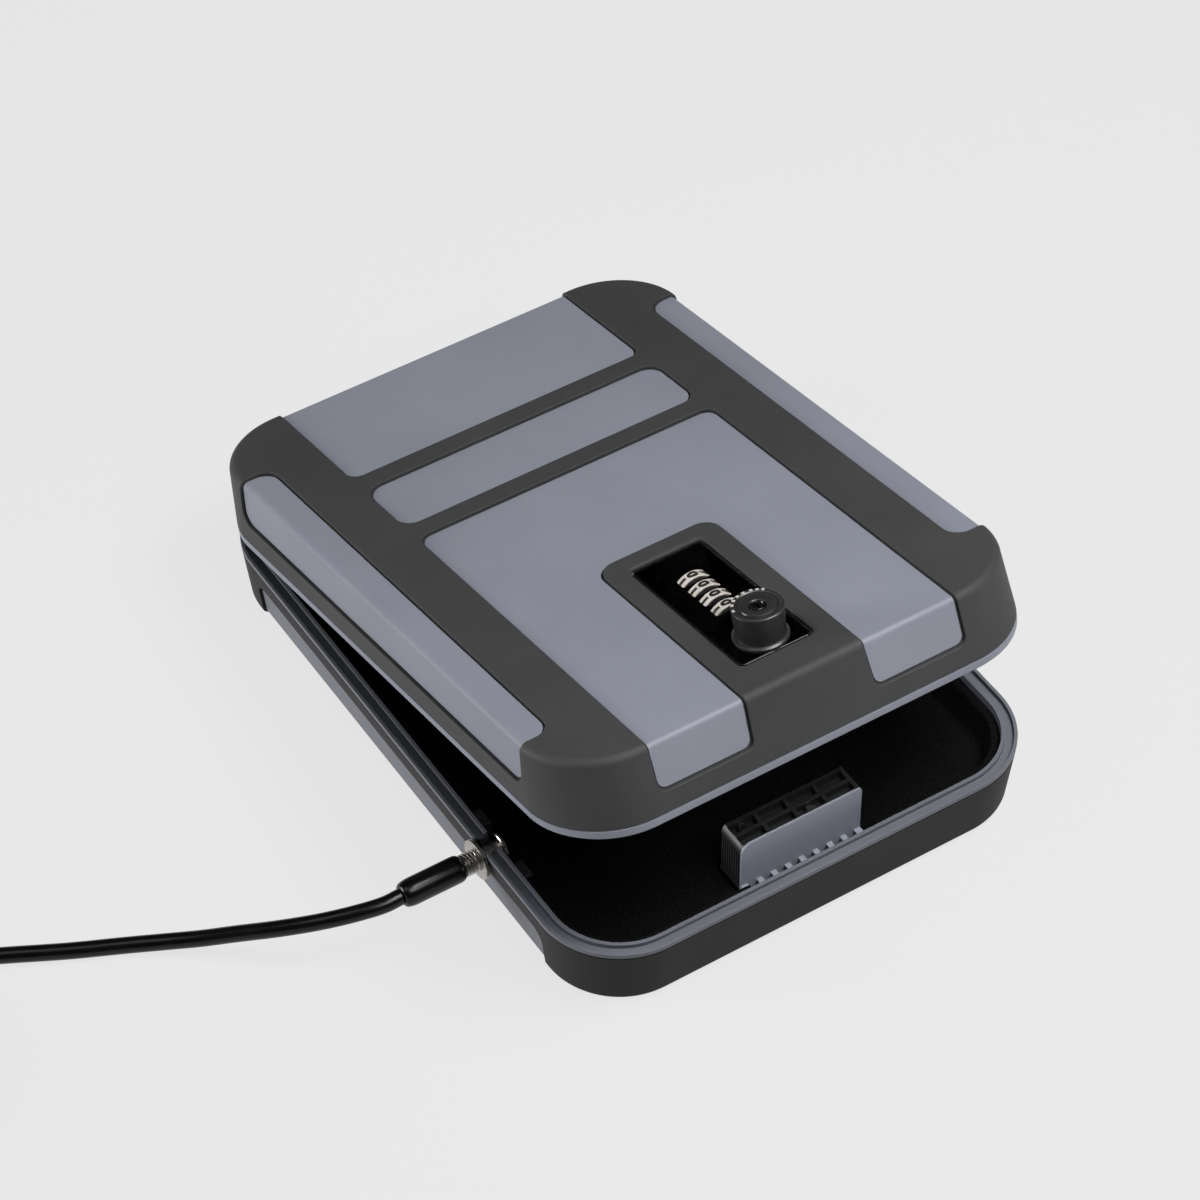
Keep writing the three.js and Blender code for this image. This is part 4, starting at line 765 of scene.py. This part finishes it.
def make_cable():
    path = CablePath()
    cable = cable_tube("cable", path.points)
    place(cable, "cable", "base", CABLE, "cable_sheath", "cable_run", "cable_coil", "cable_tail")
    boot = place(cable_boot(), "boot", "base", CABLE, "cable_sheath", "cable_boot")
    terminal = place(cable_terminal(), "terminal", "base", STEEL, "steel", "cable_terminal")
    sleeve = place(eye_sleeve(path), "ferrule", "base", STEEL, "steel", "eye_sleeve")
    eye = place(cable_eye(path), "eye", "base", CABLE, "cable_sheath", "cable_eye")
    metres = [p * MM for p in path.points]
    round(path_length(metres), 4)


make_cable()


# Forms of the shells

def outward(form):
    """1 for a form that closes upwards, -1 for one that closes downwards."""
    return math.copysign(1, form["far"] - form["open"])


def form_ring(form, height, inset):
    draft_end = form["far"] - outward(form) * form["fillet"]
    share = min(max((height - form["straight"]) / (draft_end - form["straight"]), 0), 1)
    side = HALF_WIDTH - inset - share * form["side"]
    front = -HALF_DEPTH + form["setback"] + inset + share * form["front"]
    rear = HALF_DEPTH - inset - share * form["rear"]
    radius = max(PLAN_CORNER - inset - share * form["side"], 1)
    return rectangle(-side, side, front, rear, radius, CORNER_STEPS)


def form_body(form, offset, overrun=0):
    direction = outward(form)
    fillet = max(form["fillet"] - offset, 1)
    far = form["far"] - direction * offset
    fillet_start = far - direction * fillet
    levels = [(form["open"] - direction * overrun, form_ring(form, form["open"], offset)),
              (form["straight"], form_ring(form, form["straight"], offset))]
    for step in range(FILLET_STEPS + 1):
        angle = step / FILLET_STEPS * math.pi / 2
        inset = offset + fillet * (1 - math.cos(angle))
        levels.append((fillet_start + direction * fillet * math.sin(angle),
                       form_ring(form, fillet_start, inset)))
    return loft("form", [at_height(ring, height) for height, ring in levels])


def form_slab(form, inset, bottom, top):
    return keep(form_body(form, inset, OVERRUN), wide_slab(bottom, top))


def side_windows(inset, front, rear, levels, bottom, top):
    """Cutters of a shell's two side windows, each of a level part and a side face; levels
    has the height and corner of the face's lower and upper edge."""
    (foot, foot_corner), (head, head_corner) = levels
    windows = []
    for side in (-1, 1):
        inner = side * (SIDE_INNER + inset)
        outer = side * (HALF_WIDTH + OVERRUN)
        level = prism(rounded_outline([
            (inner, front, SIDE_CORNER), (outer, front, 0), (outer, rear, 0),
            (inner, rear, SIDE_CORNER)]), bottom, top)
        face = prism(rectangle(front, rear, foot, head, foot_corner, far_radius=head_corner),
                     min(inner, outer), max(inner, outer), "X")
        windows.append(add(level, face))
    return windows


def lid_windows(inset):
    """Cutters of the windows in the lid's bumper; with an inset, the panels in them."""
    column = COLUMN - inset
    above = LID_TOP + OVERRUN
    fold = LID_TOP - LID_FORM["fillet"]
    face_top = fold + SEAT_GAP
    beyond = HALF_DEPTH + OVERRUN
    face_inner = HALF_DEPTH - CAVITY_INSET - LID_FORM["front"]
    rear_top = prism(rectangle(-column, column, REAR_PANEL_FRONT + inset, beyond,
                               PANEL_CORNER, far_radius=0), fold, above)
    rear_face = prism(rectangle(-column, column, WRAP_FOOT + inset, face_top,
                                WRAP_CORNER, far_radius=0), face_inner, beyond, "Y")
    cross_panel = block(-column, column, CROSS_PANEL_FRONT + inset, CROSS_PANEL_REAR - inset,
                        fold, above, CROSS_CORNER)
    edge = SURROUND_HALF + inset
    surround = prism(rectangle(-edge, edge, -beyond - OVERRUN, SURROUND_REAR + inset,
                               far_radius=SURROUND_CORNER), LID_BOTTOM, above + OVERRUN)
    front_top = prism(rectangle(-column, column, -beyond, FRONT_PANEL_REAR - inset,
                                far_radius=PANEL_CORNER), fold, above)
    windows = [add(rear_top, rear_face), cross_panel]
    cut(front_top, surround)
    for side in (-1, 1):
        corners = [
            (side * (SURROUND_FOOT_HALF + inset), WRAP_FOOT + inset, WRAP_CORNER),
            (side * column, WRAP_FOOT + inset, WRAP_CORNER),
            (side * column, face_top, 0), (side * edge, face_top, 0), (side * edge, fold, 0)]
        add(front_top, prism(rounded_outline(corners), -beyond, -face_inner, "Y"))
    levels = ((SIDE_FOOT + inset, SIDE_FOOT_CORNER), (face_top, 0))
    return windows + [front_top] + side_windows(inset, SIDE_FRONT + inset, SIDE_REAR - inset,
                                                levels, fold, above)


def base_windows(inset):
    """Cutters of the windows in the base's bumper: both sides, two on the underside."""
    half = BASE_PANEL_HALF - inset
    fillet = BASE_FORM["fillet"]
    levels = ((fillet, 0), (BASE_PANEL_TOP - inset, SIDE_FOOT_CORNER))
    windows = side_windows(inset, -half, half, levels, -OVERRUN, fillet + OVERRUN)
    for side in (-1, 1):
        near, far = sorted((side * (CROSS_BAND_HALF + inset), side * half))
        windows.append(block(-COLUMN + inset, COLUMN - inset, near, far, -OVERRUN,
                             fillet + OVERRUN, SIDE_CORNER))
    return windows


def hinge_disc(radius, x, half):
    return disc(radius, x - half, x + half, "X", (HINGE_Y, HINGE_Z))


def knuckle(x, bottom, top):
    half = KNUCKLE_LENGTH / 2
    barrel = hinge_disc(KNUCKLE_RADIUS, x, half)
    add(barrel, block(x - half, x + half, HALF_DEPTH - ARM_DEPTH, HINGE_Y, bottom, top))
    return cut(barrel, hinge_disc(PIN_BORE, x, half + OVERRUN))


def knuckle_relief(x):
    return hinge_disc(KNUCKLE_RADIUS + SLIDE_GAP, x, KNUCKLE_LENGTH / 2 + KNUCKLE_GAP)


BASE_KNUCKLES = [x + step for x in HINGE_CENTRES for step in (-KNUCKLE_STEP, KNUCKLE_STEP)]


def port_notch(width, depth):
    """Cutter of the cable's notch, from outside the left wall to a depth in it."""
    left, right = -HALF_WIDTH - OVERRUN, -HALF_WIDTH + depth
    foot = disc(width / 2, left, right, "X", (PORT_Y, PORT_Z))
    slot = block(left, right, PORT_Y - width / 2, PORT_Y + width / 2, PORT_Z, PARTING + OVERRUN)
    return add(foot, slot)


def plate_outline(margin, corner):
    return rectangle(-PLATE_HALF - margin, PLATE_HALF + margin, PLATE_FRONT - margin,
                     PLATE_REAR + margin, corner)


def lock_hole(margin):
    return prism(plate_outline(margin, PLATE_CORNER + margin / 2), LID_BOTTOM, LID_TOP + OVERRUN)


def lock_lead():
    """Cutter of the shallow slope round the lock's opening."""
    ends = ((LOCK_MARGIN, LID_TOP - LEAD_DEPTH), (LEAD_WIDTH, LID_TOP + LEAD_DEPTH))
    return loft("lead", [at_height(plate_outline(margin, PLATE_CORNER + margin / 2), height)
                         for margin, height in ends])


def panels(form, windows):
    """The panels that fill the windows."""
    return keep(form_body(form, PANEL_DEPTH), add(*windows))


def gap_floor(form, windows):
    """The bumper's narrow ledge low in each window, which closes the gap round its panel."""
    ledge = cut(form_body(form, LEDGE_DEPTH, OVERRUN), form_body(form, BUMPER, 2 * OVERRUN))
    keep(ledge, add(*windows(-2 * WINDOW_EASE)))
    return cut(ledge, add(*windows(LEDGE_INSET)))


def lid_shell():
    shell = form_body(LID_FORM, SHELL_INSET)
    add(shell, form_slab(LID_FORM, 0, LID_BOTTOM, LIP_TOP))
    add(shell, panels(LID_FORM, lid_windows(PANEL_GAP)))
    tongue_form = {**LID_FORM, "open": LID_BOTTOM - TONGUE_DEPTH, "setback": 0}
    tongue = form_slab(tongue_form, OUTER_RIDGE + TONGUE_CLEARANCE, tongue_form["open"], LIP_TOP)
    port_gate = block(-2 * HALF_WIDTH, -HALF_WIDTH + CAVITY_INSET + OVERRUN,
                      PORT_Y - PORT_WIDTH, PORT_Y + PORT_WIDTH, LID_BOTTOM - OVERRUN, LID_BOTTOM)
    add(shell, cut(tongue, port_gate))
    inner = form_slab(tongue_form, OUTER_RIDGE + GROOVE_WIDTH - TONGUE_CLEARANCE,
                      tongue_form["open"] - OVERRUN, LID_BOTTOM)
    cut(shell, inner, form_body(LID_FORM, CAVITY_INSET, OVERRUN))
    cut(shell, *[knuckle_relief(x) for x in BASE_KNUCKLES])
    add(shell, *[knuckle(x, LID_BOTTOM, HINGE_Z + KNUCKLE_RADIUS) for x in HINGE_CENTRES])
    cut(shell, lock_hole(SEAT_GAP))
    return soften(shell, 0.22, 2)


def lid_bumper():
    skin = form_slab(LID_FORM, 0, LIP_TOP + SEAT_GAP, LID_TOP + OVERRUN)
    cut(skin, form_body(LID_FORM, BUMPER, OVERRUN), *lid_windows(-WINDOW_EASE))
    cut(skin, lock_hole(LOCK_MARGIN), lock_lead())
    return add(soften(skin, 0.3), gap_floor(LID_FORM, lid_windows))


def base_shell():
    shell = form_body(BASE_FORM, SHELL_INSET)
    add(shell, form_slab(BASE_FORM, 0, BASE_LIP, PARTING))
    add(shell, panels(BASE_FORM, base_windows(PANEL_GAP)))
    cut(shell, form_body(BASE_FORM, CAVITY_INSET, OVERRUN))
    cut(shell, *[knuckle_relief(x) for x in HINGE_CENTRES])
    add(shell, *[knuckle(x, HINGE_Z - KNUCKLE_RADIUS, HINGE_Z) for x in BASE_KNUCKLES])
    add(shell, *[disc(BOSS_RADIUS, CAVITY_INSET - SEAT_GAP, PAD_TOP, centre=spot)
                 for spot in CATCH_SCREWS])
    groove = form_slab(BASE_FORM, OUTER_RIDGE, PARTING - GROOVE_DEPTH, PARTING + OVERRUN)
    cut(groove, form_slab(BASE_FORM, OUTER_RIDGE + GROOVE_WIDTH,
                          PARTING - GROOVE_DEPTH - OVERRUN, PARTING + OVERRUN))
    cut(shell, groove)
    cut(shell, port_notch(PORT_WIDTH, CAVITY_INSET + OVERRUN))
    cut(shell, *[disc(SCREW_HOLE, BUMPER + 2 * SEAT_GAP, PAD_TOP + OVERRUN, centre=spot)
                 for spot in CATCH_SCREWS])
    return soften(shell, 0.2, 2)


def base_bumper():
    skin = form_slab(BASE_FORM, 0, 0, BASE_LIP - SEAT_GAP)
    cut(skin, form_body(BASE_FORM, BUMPER, OVERRUN), *base_windows(-WINDOW_EASE))
    for x in BASE_KNUCKLES:
        half = KNUCKLE_LENGTH / 2 + KNUCKLE_GAP
        cut(skin, block(x - half, x + half, HALF_DEPTH - ARM_DEPTH, HINGE_Y + KNUCKLE_RADIUS,
                        HINGE_Z - KNUCKLE_RADIUS - SEAT_GAP, BASE_LIP + OVERRUN))
    cut(skin, *[knuckle_relief(x) for x in HINGE_CENTRES])
    cut(skin, port_notch(PORT_WIDTH + 2 * SEAT_GAP, CAVITY_INSET))
    cut(skin, port_notch(2 * (FLANGE_RADIUS + SEAT_GAP), 0))
    return add(soften(skin, 0.3), gap_floor(BASE_FORM, base_windows))


place(lid_shell(), "lid_cover", "lid", GRAY, "gray_shell", "lid_shell")
place(lid_bumper(), "lid_guard", "lid", BLACK, "black_overmould", "lid_bumper")
# The base tray takes the gray that is made darker as painted shade
place(base_shell(), "base_tray", "base", SHADED_BASE_GRAY, "gray_shell", "base_shell")
# The base guard takes the black that is made darker as painted shade
place(base_bumper(), "base_guard", "base", SHADED_BASE_BLACK, "black_overmould", "base_bumper")


# Tray lining and catch block

def foam_liner():
    inset = CAVITY_INSET + LINER_GAP
    liner = form_slab(BASE_FORM, inset, CAVITY_INSET + SEAT_GAP, LINER_WALL_TOP)
    cut(liner, form_slab(BASE_FORM, inset + LINER_WALL, PAD_TOP, LINER_WALL_TOP + OVERRUN))
    room = 2 * LINER_GAP
    above = LINER_WALL_TOP + OVERRUN
    half = BLOCK_HALF + room
    cut(liner, block(-half, half, BLOCK_FRONT - room, BLOCK_REAR + room, 0, above))
    cut(liner, block(-half, half, -2 * HALF_DEPTH, BLOCK_FRONT, PAD_TOP, above))
    port_half = TAB_OFFSET + TAB_LENGTH / 2 + SEAT_GAP + room
    wall = -HALF_WIDTH + CAVITY_INSET + BASE_FORM["side"] + LINER_WALL
    cut(liner, block(-2 * HALF_WIDTH, wall + room, PORT_Y - port_half, PORT_Y + port_half,
                     PAD_TOP, above))
    return soften(liner, 0.8)


liner = place(foam_liner(), "foam_lining", "base", FOAM, "foam", "base_liner")


def from_node(node):
    """A copy of a CAD node's mesh, in millimetres, to be made finer."""
    mesh = nodes[node].data.copy()
    mesh.transform(Matrix.Scale(1 / MM, 4))
    item = new_object("copy", mesh)
    bm = bmesh.new()
    bm.from_mesh(mesh)
    bmesh.ops.remove_doubles(bm, verts=bm.verts, dist=0.001)
    bm.to_mesh(mesh)
    bm.free()
    return item


BLOCK_TOP = PARTING + 8
BLOCK_BOTTOM = CAVITY_INSET + SEAT_GAP
BLOCK_WALL = 1.3
COVER_THICKNESS = 0.8
BLOCK_DECK_SUNK = 0.9
BLOCK_POCKET_DEPTH = 4
BLOCK_COLUMNS = 4
BLOCK_ROWS = 2
CAM_SLOT = (-4, 11.4, KNOB_Y - 10.7, 24.2, 28.2)
FOOT_BOTTOM = PAD_TOP + SLIDE_GAP
FOOT_THICKNESS = 1.4
FOOT_SLOTS = 8
FOOT_SLOT_WIDTH = 3.2
FOOT_SLOT_PITCH = 5.3
SIDE_RIB_PITCH = 1.25
SIDE_RIB_DEPTH = 0.25
SIDE_RIB_WIDTH = 0.5
SIDE_RIB_DROP = 4.5
FIRST_SIDE_RIB = 1.2
POCKET_CORNER = 0.4
FOOT_FRONT = -HALF_DEPTH + CAVITY_INSET + 1.35


def catch_block():
    outline = rounded_outline([
        (-BLOCK_HALF, BLOCK_BOTTOM, 0), (BLOCK_HALF, BLOCK_BOTTOM, 0),
        (BLOCK_HALF, BLOCK_TOP, 1.4), (-BLOCK_HALF, BLOCK_TOP, 4)], 12)
    body = prism(outline, BLOCK_FRONT, BLOCK_REAR, "Y")
    above = BLOCK_TOP + OVERRUN
    beyond = BLOCK_REAR + OVERRUN
    left, front = -BLOCK_HALF + BLOCK_WALL, BLOCK_FRONT + BLOCK_WALL
    cut(body, block(left, BLOCK_HALF - BLOCK_WALL / 2, front, beyond,
                    BLOCK_TOP - BLOCK_DECK_SUNK, above))
    pitch_x = (2 * BLOCK_HALF - BLOCK_WALL) / BLOCK_COLUMNS
    pitch_y = (BLOCK_REAR - front) / BLOCK_ROWS
    for pocket in range(BLOCK_COLUMNS * BLOCK_ROWS):
        column, row = divmod(pocket, BLOCK_ROWS)
        x, y = left + column * pitch_x, front + row * pitch_y
        cut(body, block(x, x + pitch_x - BLOCK_WALL, y, y + pitch_y - BLOCK_WALL,
                        BLOCK_TOP - BLOCK_POCKET_DEPTH, above, POCKET_CORNER, 4))
    slot_left, slot_right, slot_front, bottom, top = CAM_SLOT
    cut(body, block(slot_left, slot_right, slot_front, beyond, bottom, top))
    for rib in range(int((BLOCK_REAR - BLOCK_FRONT) / SIDE_RIB_PITCH)):
        y = BLOCK_FRONT + FIRST_SIDE_RIB + rib * SIDE_RIB_PITCH
        cut(body, block(-BLOCK_HALF - OVERRUN, -BLOCK_HALF + SIDE_RIB_DEPTH, y,
                        y + SIDE_RIB_WIDTH, FOOT_BOTTOM, BLOCK_TOP - SIDE_RIB_DROP))
    foot = block(-BLOCK_HALF, BLOCK_HALF, FOOT_FRONT, front, FOOT_BOTTOM,
                 FOOT_BOTTOM + FOOT_THICKNESS)
    for slot in range(FOOT_SLOTS):
        x = (slot - (FOOT_SLOTS - 1) / 2) * FOOT_SLOT_PITCH
        cut(foot, block(x - FOOT_SLOT_WIDTH / 2, x + FOOT_SLOT_WIDTH / 2, FOOT_FRONT + BLOCK_WALL,
                        BLOCK_FRONT, FOOT_BOTTOM - OVERRUN, FOOT_BOTTOM + OVERRUN))
    add(body, foot)
    for centre in CATCH_SCREWS:
        cut(body, disc(SCREW_HOLE, 0, BLOCK_TOP, centre=centre),
            disc(BOSS_RADIUS + SEAT_GAP, 0, PAD_TOP + SEAT_GAP, centre=centre))
    return soften(body, 0.16, 2)


def cover_room():
    """Room of the catch block's pale front face, its gray partly painted light, and of its
    comb-shaped foot.
    """
    return block(-2 * BLOCK_HALF, 2 * BLOCK_HALF, -2 * HALF_DEPTH, BLOCK_FRONT + COVER_THICKNESS,
                 0, BLOCK_TOP + OVERRUN)


place(cut(catch_block(), cover_room()), "catch", "base", DARK, "gloss_black", "catch_block")
# The catch's front face takes the gray that is made lighter as painted light
place(keep(catch_block(), cover_room()), "catch_cover", "base", LIT_BLOCK_GRAY, "gray_shell")
for tab in ("port_tab_front", "port_tab_rear"):
    place(soften(from_node(tab), 0.5), tab + "_clip", "base", DARK, "gloss_black", tab)


# Lock

def lock_face():
    top = PLATE_TOP
    plate = prism(plate_outline(0, PLATE_CORNER), top - PLATE_THICKNESS, top + PLATE_RIM_RISE)
    cut(plate, prism(plate_outline(-PLATE_RIM, PLATE_CORNER - PLATE_RIM), top, top + OVERRUN))
    middle = FIRST_DIAL_Y - (DIAL_COUNT - 1) * DIAL_PITCH / 2
    half = ((DIAL_COUNT - 1) * DIAL_PITCH + DIAL_WIDTH + RECESS_HALF) / 2
    cut(plate, block(-RECESS_HALF, RECESS_HALF, middle - half, middle + half,
                     top - RECESS_DEPTH, top + OVERRUN, RECESS_HALF - SLIDE_GAP, 16))
    slot_half = DIAL_WIDTH / 2 + SLIDE_GAP
    for y in DIAL_YS:
        cut(plate, disc(DIAL_RADIUS + SLIDE_GAP, y - slot_half, y + slot_half, "Y", (0, DIAL_Z)))
    cut(plate, disc(SPINDLE_RADIUS + SEAT_GAP, top - OVERRUN, top + OVERRUN, centre=(0, KNOB_Y)))
    return soften(plate, 0.35)


BAND_HALF = 1.85
BAND_DEPTH = 0.35
BAND_EDGE = 0.15


def dial_core(y):
    """Dark wheel, lower than its white band by a hair at both sides."""
    half = DIAL_WIDTH / 2
    edge = DIAL_RADIUS - BAND_DEPTH
    profile = [
        (DIAL_BORE, y - half), (edge - 0.5, y - half), (edge - 0.1, y - BAND_HALF - 0.02),
        (edge - 0.1, y + BAND_HALF + 0.02), (edge - 0.5, y + half), (DIAL_BORE, y + half)]
    return turned(profile, "Y", (0, DIAL_Z))


def dial_band(y):
    low, high = y - BAND_HALF, y + BAND_HALF
    inner, edge = DIAL_RADIUS - BAND_DEPTH - 0.2, DIAL_RADIUS - BAND_EDGE
    profile = [(inner, low), (edge, low), (DIAL_RADIUS, low + BAND_EDGE),
               (DIAL_RADIUS, high - BAND_EDGE), (edge, high), (inner, high)]
    return turned(profile, "Y", (0, DIAL_Z), 120)


DIGIT_SIZE = 4.8
DIGIT_WEIGHT = 0.3
DIGIT_RISE = 0.05
DIGIT_SLICE = 0.3
DIGIT_STEP = 2 * math.pi / 10


def flat_digit(text):
    """A digit's outline, filled and cut in thin slices, as (places, faces) about its middle."""
    curve = bpy.data.curves.new("digit", "FONT")
    curve.body = text
    curve.size = DIGIT_SIZE
    curve.align_x = "CENTER"
    curve.resolution_u = 6
    curve.offset = DIGIT_WEIGHT
    item = new_object("digit", curve)
    graph = bpy.context.evaluated_depsgraph_get()
    bm = bmesh.new()
    bm.from_mesh(bpy.data.meshes.new_from_object(item.evaluated_get(graph)))
    bpy.data.objects.remove(item)
    bmesh.ops.remove_doubles(bm, verts=bm.verts, dist=0.001)
    xs = [v.co.x for v in bm.verts]
    ys = [v.co.y for v in bm.verts]
    height = min(ys) + DIGIT_SLICE
    while height < max(ys):
        bmesh.ops.bisect_plane(bm, geom=bm.verts[:] + bm.edges[:] + bm.faces[:],
                               plane_co=(0, height, 0), plane_no=(0, 1, 0), dist=0.0001)
        height += DIGIT_SLICE
    middle = Vector(((min(xs) + max(xs)) / 2, (min(ys) + max(ys)) / 2, 0))
    bm.verts.index_update()
    places = [v.co - middle for v in bm.verts]
    faces = [tuple(v.index for v in face.verts) for face in bm.faces]
    bm.free()
    return places, faces


DIGITS = [flat_digit(str(value)) for value in range(10)]


def dial_digits(y):
    """The ten digits wrapped on a ring: up is towards +X at the top, 0 at the top."""
    bm = bmesh.new()
    for value, (places, faces) in enumerate(DIGITS):
        turn = -value * DIGIT_STEP
        spots = [(turn + p.y / DIAL_RADIUS, y - p.x) for p in places]
        low, high = [[bm.verts.new((radius * math.sin(angle), across,
                                    DIAL_Z + radius * math.cos(angle)))
                      for angle, across in spots]
                     for radius in (DIAL_RADIUS - 0.1, DIAL_RADIUS + DIGIT_RISE)]
        edges = {}
        for face in faces:
            bm.faces.new([high[index] for index in face])
            bm.faces.new([low[index] for index in face[::-1]])
            for a, b in zip(face, face[1:] + face[:1]):
                edges[(a, b)] = True
        for a, b in edges:
            if (b, a) not in edges:
                bm.faces.new((low[a], low[b], high[b], high[a]))
    return from_bmesh("digits", bm)


def knob():
    low, high, edge = KNOB_BOTTOM, KNOB_TOP, KNOB_RADIUS
    flare = edge + KNOB_FLARE
    skirt = low + KNOB_SKIRT
    bore = PLUG_RADIUS + SEAT_GAP
    profile = [
        (0, low), (flare, low), (flare, skirt - 0.3), (flare - 0.3, skirt),
        (edge - 0.35, skirt + 0.25), (edge - 0.6, skirt + 0.9), (edge - 0.1, high - 0.9),
        (edge, high - 0.55), (edge - 0.12, high - 0.2), (edge - 0.45, high),
        (edge - 1.15, high - 0.05), (edge - 1.5, high - 0.35), (6.3, high - 0.45),
        (5.95, high - 0.45), (5.75, high - 0.1), (5.5, high), (5.2, high - 0.12),
        (2.95, high - 0.2), (bore, high - 0.45), (bore, high - PLUG_DEPTH),
        (0, high - PLUG_DEPTH)]
    body = turned(profile, "Z", (0, KNOB_Y), 128)
    return cut(body, disc(SPINDLE_RADIUS + SEAT_GAP, low - OVERRUN,
                          low + SPINDLE_RADIUS + SEAT_GAP, centre=(0, KNOB_Y)))


def key_plug():
    low, high = KNOB_TOP - PLUG_DEPTH + SEAT_GAP, KNOB_TOP - SEAT_GAP
    profile = [
        (0, low), (PLUG_RADIUS, low),
        (PLUG_RADIUS, high + 0.05), (PLUG_RADIUS - 0.15, high + 0.2),
        (PLUG_RADIUS - 0.4, high + 0.2), (PLUG_RADIUS - 0.6, high - 0.1), (0, high - 0.15)]
    plug = turned(profile, "Z", (0, KNOB_Y), 64)
    return cut(plug, block(-0.45, 0.45, KNOB_Y - 1.7, KNOB_Y + 1.7, high - 3.5, high + OVERRUN))


MARK_ANGLES = (43.5, 57, 71.5, 91, 109, 126.5, 144, 166)
MARK_INNER = KNOB_RADIUS - 1.2
MARK_OUTER = KNOB_RADIUS - 0.3
MARK_HALF_WIDTH = 0.5
MARK_DEPTH = 0.3
MARK_RISE = 0.04


def knob_marks():
    """Plain strokes on the knob's rim."""
    bm = bmesh.new()
    corners = rectangle(MARK_INNER, MARK_OUTER, -MARK_HALF_WIDTH, MARK_HALF_WIDTH)
    for degrees in MARK_ANGLES:
        turn = Matrix.Rotation(math.radians(degrees), 3, "Z")
        skin_rings(bm, [[turn @ p + Vector((0, KNOB_Y, 0)) for p in at_height(corners, end)]
                        for end in (KNOB_TOP - MARK_DEPTH, KNOB_TOP + MARK_RISE)])
    return from_bmesh("marks", bm)


place(lock_face(), "lock_plate", "lid", GLOSS, "gloss_black", "lock_face")
for number, dial_y in enumerate(DIAL_YS, 1):
    wheel = f"dial_{number}_wheel"
    place(dial_core(dial_y), f"dial_core_{number}", wheel, DARK, "gloss_black", f"dial_{number}")
    place(dial_band(dial_y), f"dial_band_{number}", wheel, WHITE, "dial_white")
    place(dial_digits(dial_y), f"dial_digits_{number}", wheel, PRINT, "dial_white")
place(knob(), "turn_knob", "knob_turning", KNOB, "gloss_black", "knob")
place(key_plug(), "key_core_plug", "key_core", GLOSS, "gloss_black", "key_plug")
place(knob_marks(), "knob_marks", "knob_turning", WHITE, "dial_white")


# Finishes of the CAD nodes that stay
SLOT_FINISH = {
    "gray_shell": GRAY, "black_overmould": BLACK, "foam": FOAM, "gloss_black": DARK,
    "dial_white": WHITE, "steel": STEEL, "brass_parts": BRASS, "cable_sheath": CABLE,
}
for part in frame["record"]["subparts"]:
    cad = nodes[part["node"]]
    cad.data.materials.clear()
    cad.data.materials.append(SLOT_FINISH[part["material_slot"]])


# Floor and light

FLOOR_SIZE = 6
FLOOR_DROP = 0.0002
FLOOR_GLOW = 0.74
WORLD_STRENGTH = 0.3
WORLD_STOPS = ((0.03, 1), (0.16, 0.03))
LIGHT_TARGET = (0, 0, 0.03)
# Each light's power, place and size
LIGHTS = {
    "key": (3.5, (0.05, -0.42, 0.72), 0.4),
    "overhead": (9, (0.35, -0.25, 0.95), 0.4),
    "left": (0.8, (-0.4, 0.0, 0.8), 0.4),
    "left_rear": (16, (-1.2, 0.6, 0.3), 0.5),
    "right_front": (1.8, (0.8, -0.8, 0.35), 0.4),
}


def make_stage():
    bpy.ops.mesh.primitive_plane_add(size=FLOOR_SIZE, location=(0, 0, -FLOOR_DROP))
    floor = bpy.context.object
    floor.name = "floor"
    finish = Finish("floor").set(Roughness=0.9, Specular_IOR_Level=0.1,
                                 Emission_Color=(1, 1, 1, 1), Emission_Strength=FLOOR_GLOW)
    finish.tint(finish.noise(3, 2), (60, 60, 60), (62, 62, 62))
    floor.data.materials.append(finish.material)


def make_light(name, energy, spot, size):
    data = bpy.data.lights.new(name, "AREA")
    data.energy = energy
    data.size = size
    light = bpy.data.objects.new(name, data)
    light.location = spot
    light.visible_camera = False
    light.rotation_euler = (Vector(spot) - Vector(LIGHT_TARGET)).to_track_quat("Z", "Y").to_euler()
    bpy.context.scene.collection.objects.link(light)


def make_world():
    world = bpy.data.worlds.new("studio")
    world.use_nodes = True
    tree = world.node_tree
    background = tree.nodes["Background"]
    background.inputs["Strength"].default_value = WORLD_STRENGTH
    direction = tree.nodes.new("ShaderNodeTexCoord")
    height = tree.nodes.new("ShaderNodeSeparateXYZ")
    ramp = tree.nodes.new("ShaderNodeValToRGB")
    for element, (position, level) in zip(ramp.color_ramp.elements, WORLD_STOPS):
        element.position = position
        element.color = (level, level, level, 1)
    tree.links.new(direction.outputs["Generated"], height.inputs["Vector"])
    tree.links.new(height.outputs["Z"], ramp.inputs["Fac"])
    tree.links.new(ramp.outputs["Color"], background.inputs["Color"])
    bpy.context.scene.world = world


make_stage()
make_world()
for light_name, values in LIGHTS.items():
    make_light(light_name, *values)
bpy.context.scene.view_settings.view_transform = "Standard"
